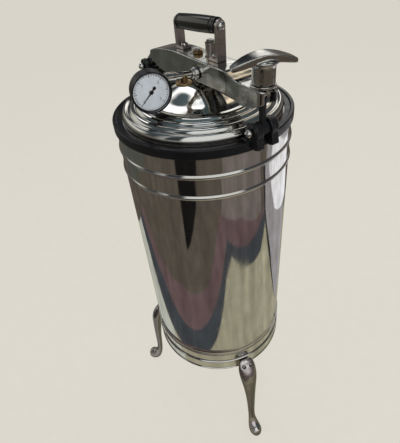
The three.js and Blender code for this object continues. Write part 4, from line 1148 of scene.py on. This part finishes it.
def card(name, corners, colour, height):
    """A flat coloured card that only reflections see, given by its corners in millimetres."""
    material, graph = new_material(name)
    outward = graph.add("ShaderNodeVectorMath", {0: graph.add("ShaderNodeTexCoord", output=3), 1: AXIS},
                        operation="SUBTRACT")
    heading = graph.add("ShaderNodeVectorMath", {0: outward}, operation="NORMALIZE")
    ray = graph.add("ShaderNodeTexNoise", {"Vector": heading, "Scale": 5.0, "Detail": 3.0})
    streak = graph.remap(ray, 0.3, 0.7, 0.82, 1.15)
    cloud = graph.remap(graph.noise(130, 5), 0.3, 0.7, 0.82, 1.18)
    patchy = graph.math("MULTIPLY", cloud, streak)
    glow = graph.add("ShaderNodeEmission", {"Color": colour, "Strength": patchy})
    graph.add("ShaderNodeOutputMaterial", {"Surface": glow})
    points = [Vector((*corner, height)) for corner in corners]
    obj = new_object(name, (points, [list(range(len(points)))]))
    obj.data.materials.append(material)
    obj.visible_camera = False
    obj.visible_diffuse = False
    obj.visible_shadow = False
    obj.visible_transmission = False


def reflected_room():
    """What the drum mirrors: a table top in a dark border and a red one, and a brown floor beyond."""
    far = 6000
    card("room_floor", [(-far, -far), (far, -far), (far, far), (-far, far)], srgb(90, 83, 75), -12)
    card("front_grey", [(-350, -1050), (-400, -2400), (1700, -2400), (700, -800)], srgb(118, 109, 105), -11)
    card("far_left", [(-700, 1150), (-1600, 700), (-far, 2600), (-3000, far), (300, far), (-300, 1500)],
         srgb(84, 87, 80), -11)
    card("red_border", [(-700, 900), (-650, -50), (-450, -500), (-400, -1050), (150, -1050), (650, -800),
                        (900, -700), (900, 900)], srgb(103, 85, 86), -10)
    card("dark_border", [(-550, 900), (-550, 300), (-400, -200), (-200, -900), (600, -750), (900, -700),
                         (900, 900)], srgb(68, 72, 77), -9)
    card("table_top", [(-400, 900), (-350, 0), (-250, -350), (-200, -650), (-100, -800), (500, -600),
                       (900, -650), (900, 900)], srgb(164, 160, 138), -8)
    card("pale_side", [(-400, 900), (-350, 150), (-300, 0), (-150, 50), (-100, 900)], srgb(188, 190, 180), -7)
    card("side_floor", [(400, -50), (650, -350), (800, -700), (1100, -1000), (2400, -1500), (2400, 700),
                        (450, 50)], srgb(160, 157, 160), -6)
    card("side_edge", [(400, -50), (600, -350), (750, -700), (1000, -1050), (1100, -1000), (800, -700),
                       (650, -350)], srgb(48, 46, 46), -5)
    card("white_sheet", [(950, -350), (1150, -800), (1700, -900), (1700, 350), (1000, 300)],
         srgb(246, 246, 250), -4)
    card("dark_gap", [(-800, -300), (-1500, -500), (-3000, -800), (-1900, -2300), (-900, -750),
                         (-800, -400)], srgb(26, 24, 24), -4)


def soft_light(name, at, size, power, colour=(1, 1, 1)):
    """A square lamp that faces the middle of the autoclave."""
    data = bpy.data.lights.new(name, "AREA")
    data.size = size
    data.energy = power
    data.color = colour
    lamp = bpy.data.objects.new(name, data)
    lamp.location = AXIS + Vector(at)
    lamp.rotation_euler = (Vector((0, 0, 0.6)) - Vector(at)).to_track_quat("-Z", "Y").to_euler()
    lamp.visible_glossy = False
    bpy.context.scene.collection.objects.link(lamp)


# Soft patches of the room overhead: middle azimuth and elevation, half width and half height in degrees,
# strength, and colour.
SOFT = 1.6  # reach of a patch's soft edge, as a share of its half size
PATCHES = (
    (-122, 36, 44, 28, 1.0, srgb(226, 228, 226)),
    (-60, 30, 14, 20, 1.0, srgb(60, 62, 66)),
    (-165, 38, 9, 30, 1.0, srgb(58, 62, 66)),
    (82, 52, 9, 17, 1.7, srgb(250, 250, 250)),
    (24, 42, 5, 13, 1.3, srgb(247, 228, 200)),
    (52, 46, 17, 18, 1.0, srgb(24, 26, 30)),
    (47, 21, 8, 5, 1.4, srgb(244, 244, 240)),
    (120, 16, 22, 9, 1.0, srgb(205, 204, 196)),
    (60, 70, 14, 4, 1.8, srgb(244, 248, 250)),
)


def soft_edge(graph, angle, half_size):
    """A share that is 1 up to an angle in degrees and fades to 0 beyond it."""
    edge = math.radians(half_size)
    return graph.remap(graph.math("ABSOLUTE", angle), edge, SOFT * edge, 1, 0)


def sky():
    """The background for the camera, and for everything else a room with pale windows and dark corners."""
    world = bpy.data.worlds.new("room")
    world.use_nodes = True
    bpy.context.scene.world = world
    graph = Graph(world.node_tree)
    direction = graph.add("ShaderNodeTexCoord", output=0)
    axes = graph.add("ShaderNodeSeparateXYZ", {0: direction}).node
    azimuth = graph.math("ARCTAN2", axes.outputs[1], axes.outputs[0])
    elevation = graph.math("ARCSINE", axes.outputs[2])
    low = graph.mix(graph.remap(elevation, -0.1, 0.3), srgb(112, 106, 98), srgb(64, 68, 72))
    room = graph.mix(graph.remap(elevation, 0.4, 1.2), low, srgb(84, 99, 104))
    for at, height, half_width, half_height, strength, colour in PATCHES:
        off = graph.math("SUBTRACT", azimuth, math.radians(at))
        wrapped = graph.add("ShaderNodeMath", {0: off, 1: math.pi, 2: -math.pi}, operation="WRAP")
        across = soft_edge(graph, wrapped, half_width)
        along = soft_edge(graph, graph.math("SUBTRACT", elevation, math.radians(height)), half_height)
        glow = (*(strength * part for part in colour[:3]), 1)
        room = graph.mix(graph.math("MULTIPLY", across, along), room, glow)
    seen = graph.add("ShaderNodeLightPath")
    colour = graph.mix(seen, room, BACKGROUND)
    background = graph.add("ShaderNodeBackground", {"Color": colour, "Strength": 1.0})
    graph.add("ShaderNodeOutputWorld", {"Surface": background})


def lighting():
    soft_light("overhead", (0.5, 0.6, 2.6), 1.1, 34)
    soft_light("window_front", (0.2, -2.4, 1.9), 1.0, 26, (0.94, 0.96, 1.0))
    soft_light("window_left", (-2.3, 0.6, 2.0), 1.0, 20, (1.0, 0.97, 0.93))
    soft_light("window_right", (2.2, -0.3, 1.5), 0.9, 16)


def camera():
    """Above and in front of the left side, as the object was seen, with a slight roll."""
    tilt, roll = math.radians(40.08), -0.1034
    heading = Vector((0.5, 0.8660254, 0))
    forward = heading * math.cos(tilt) - Vector((0, 0, math.sin(tilt)))
    level = Vector((0.8660254, -0.5, 0))
    upward = heading * math.sin(tilt) + Vector((0, 0, math.cos(tilt)))
    right = level * math.cos(roll) + upward * math.sin(roll)
    up = upward * math.cos(roll) - level * math.sin(roll)
    data = bpy.data.cameras.new("camera")
    data.lens = 30.88
    data.sensor_width = 36
    view = bpy.data.objects.new("camera", data)
    axes = Matrix((right, up, -forward)).transposed().to_4x4()
    view.matrix_world = Matrix.Translation(AXIS + Vector((-0.3542, -0.5622, 1.1794))) @ axes
    bpy.context.scene.collection.objects.link(view)
    bpy.context.scene.camera = view


drum()
collar()
legs()
chamber()
flame_shield()
basket()
trivet()
lid()
bridge()
lid_fixings()
handle()
hinge()
bolt_lug()
swing_bolt()
wing_nut()
gauge_plumbing()
exhaust()
relief_valve()
gauge()
stage_floor()
reflected_room()
sky()
lighting()
camera()
bpy.context.scene.view_settings.view_transform = "Standard"
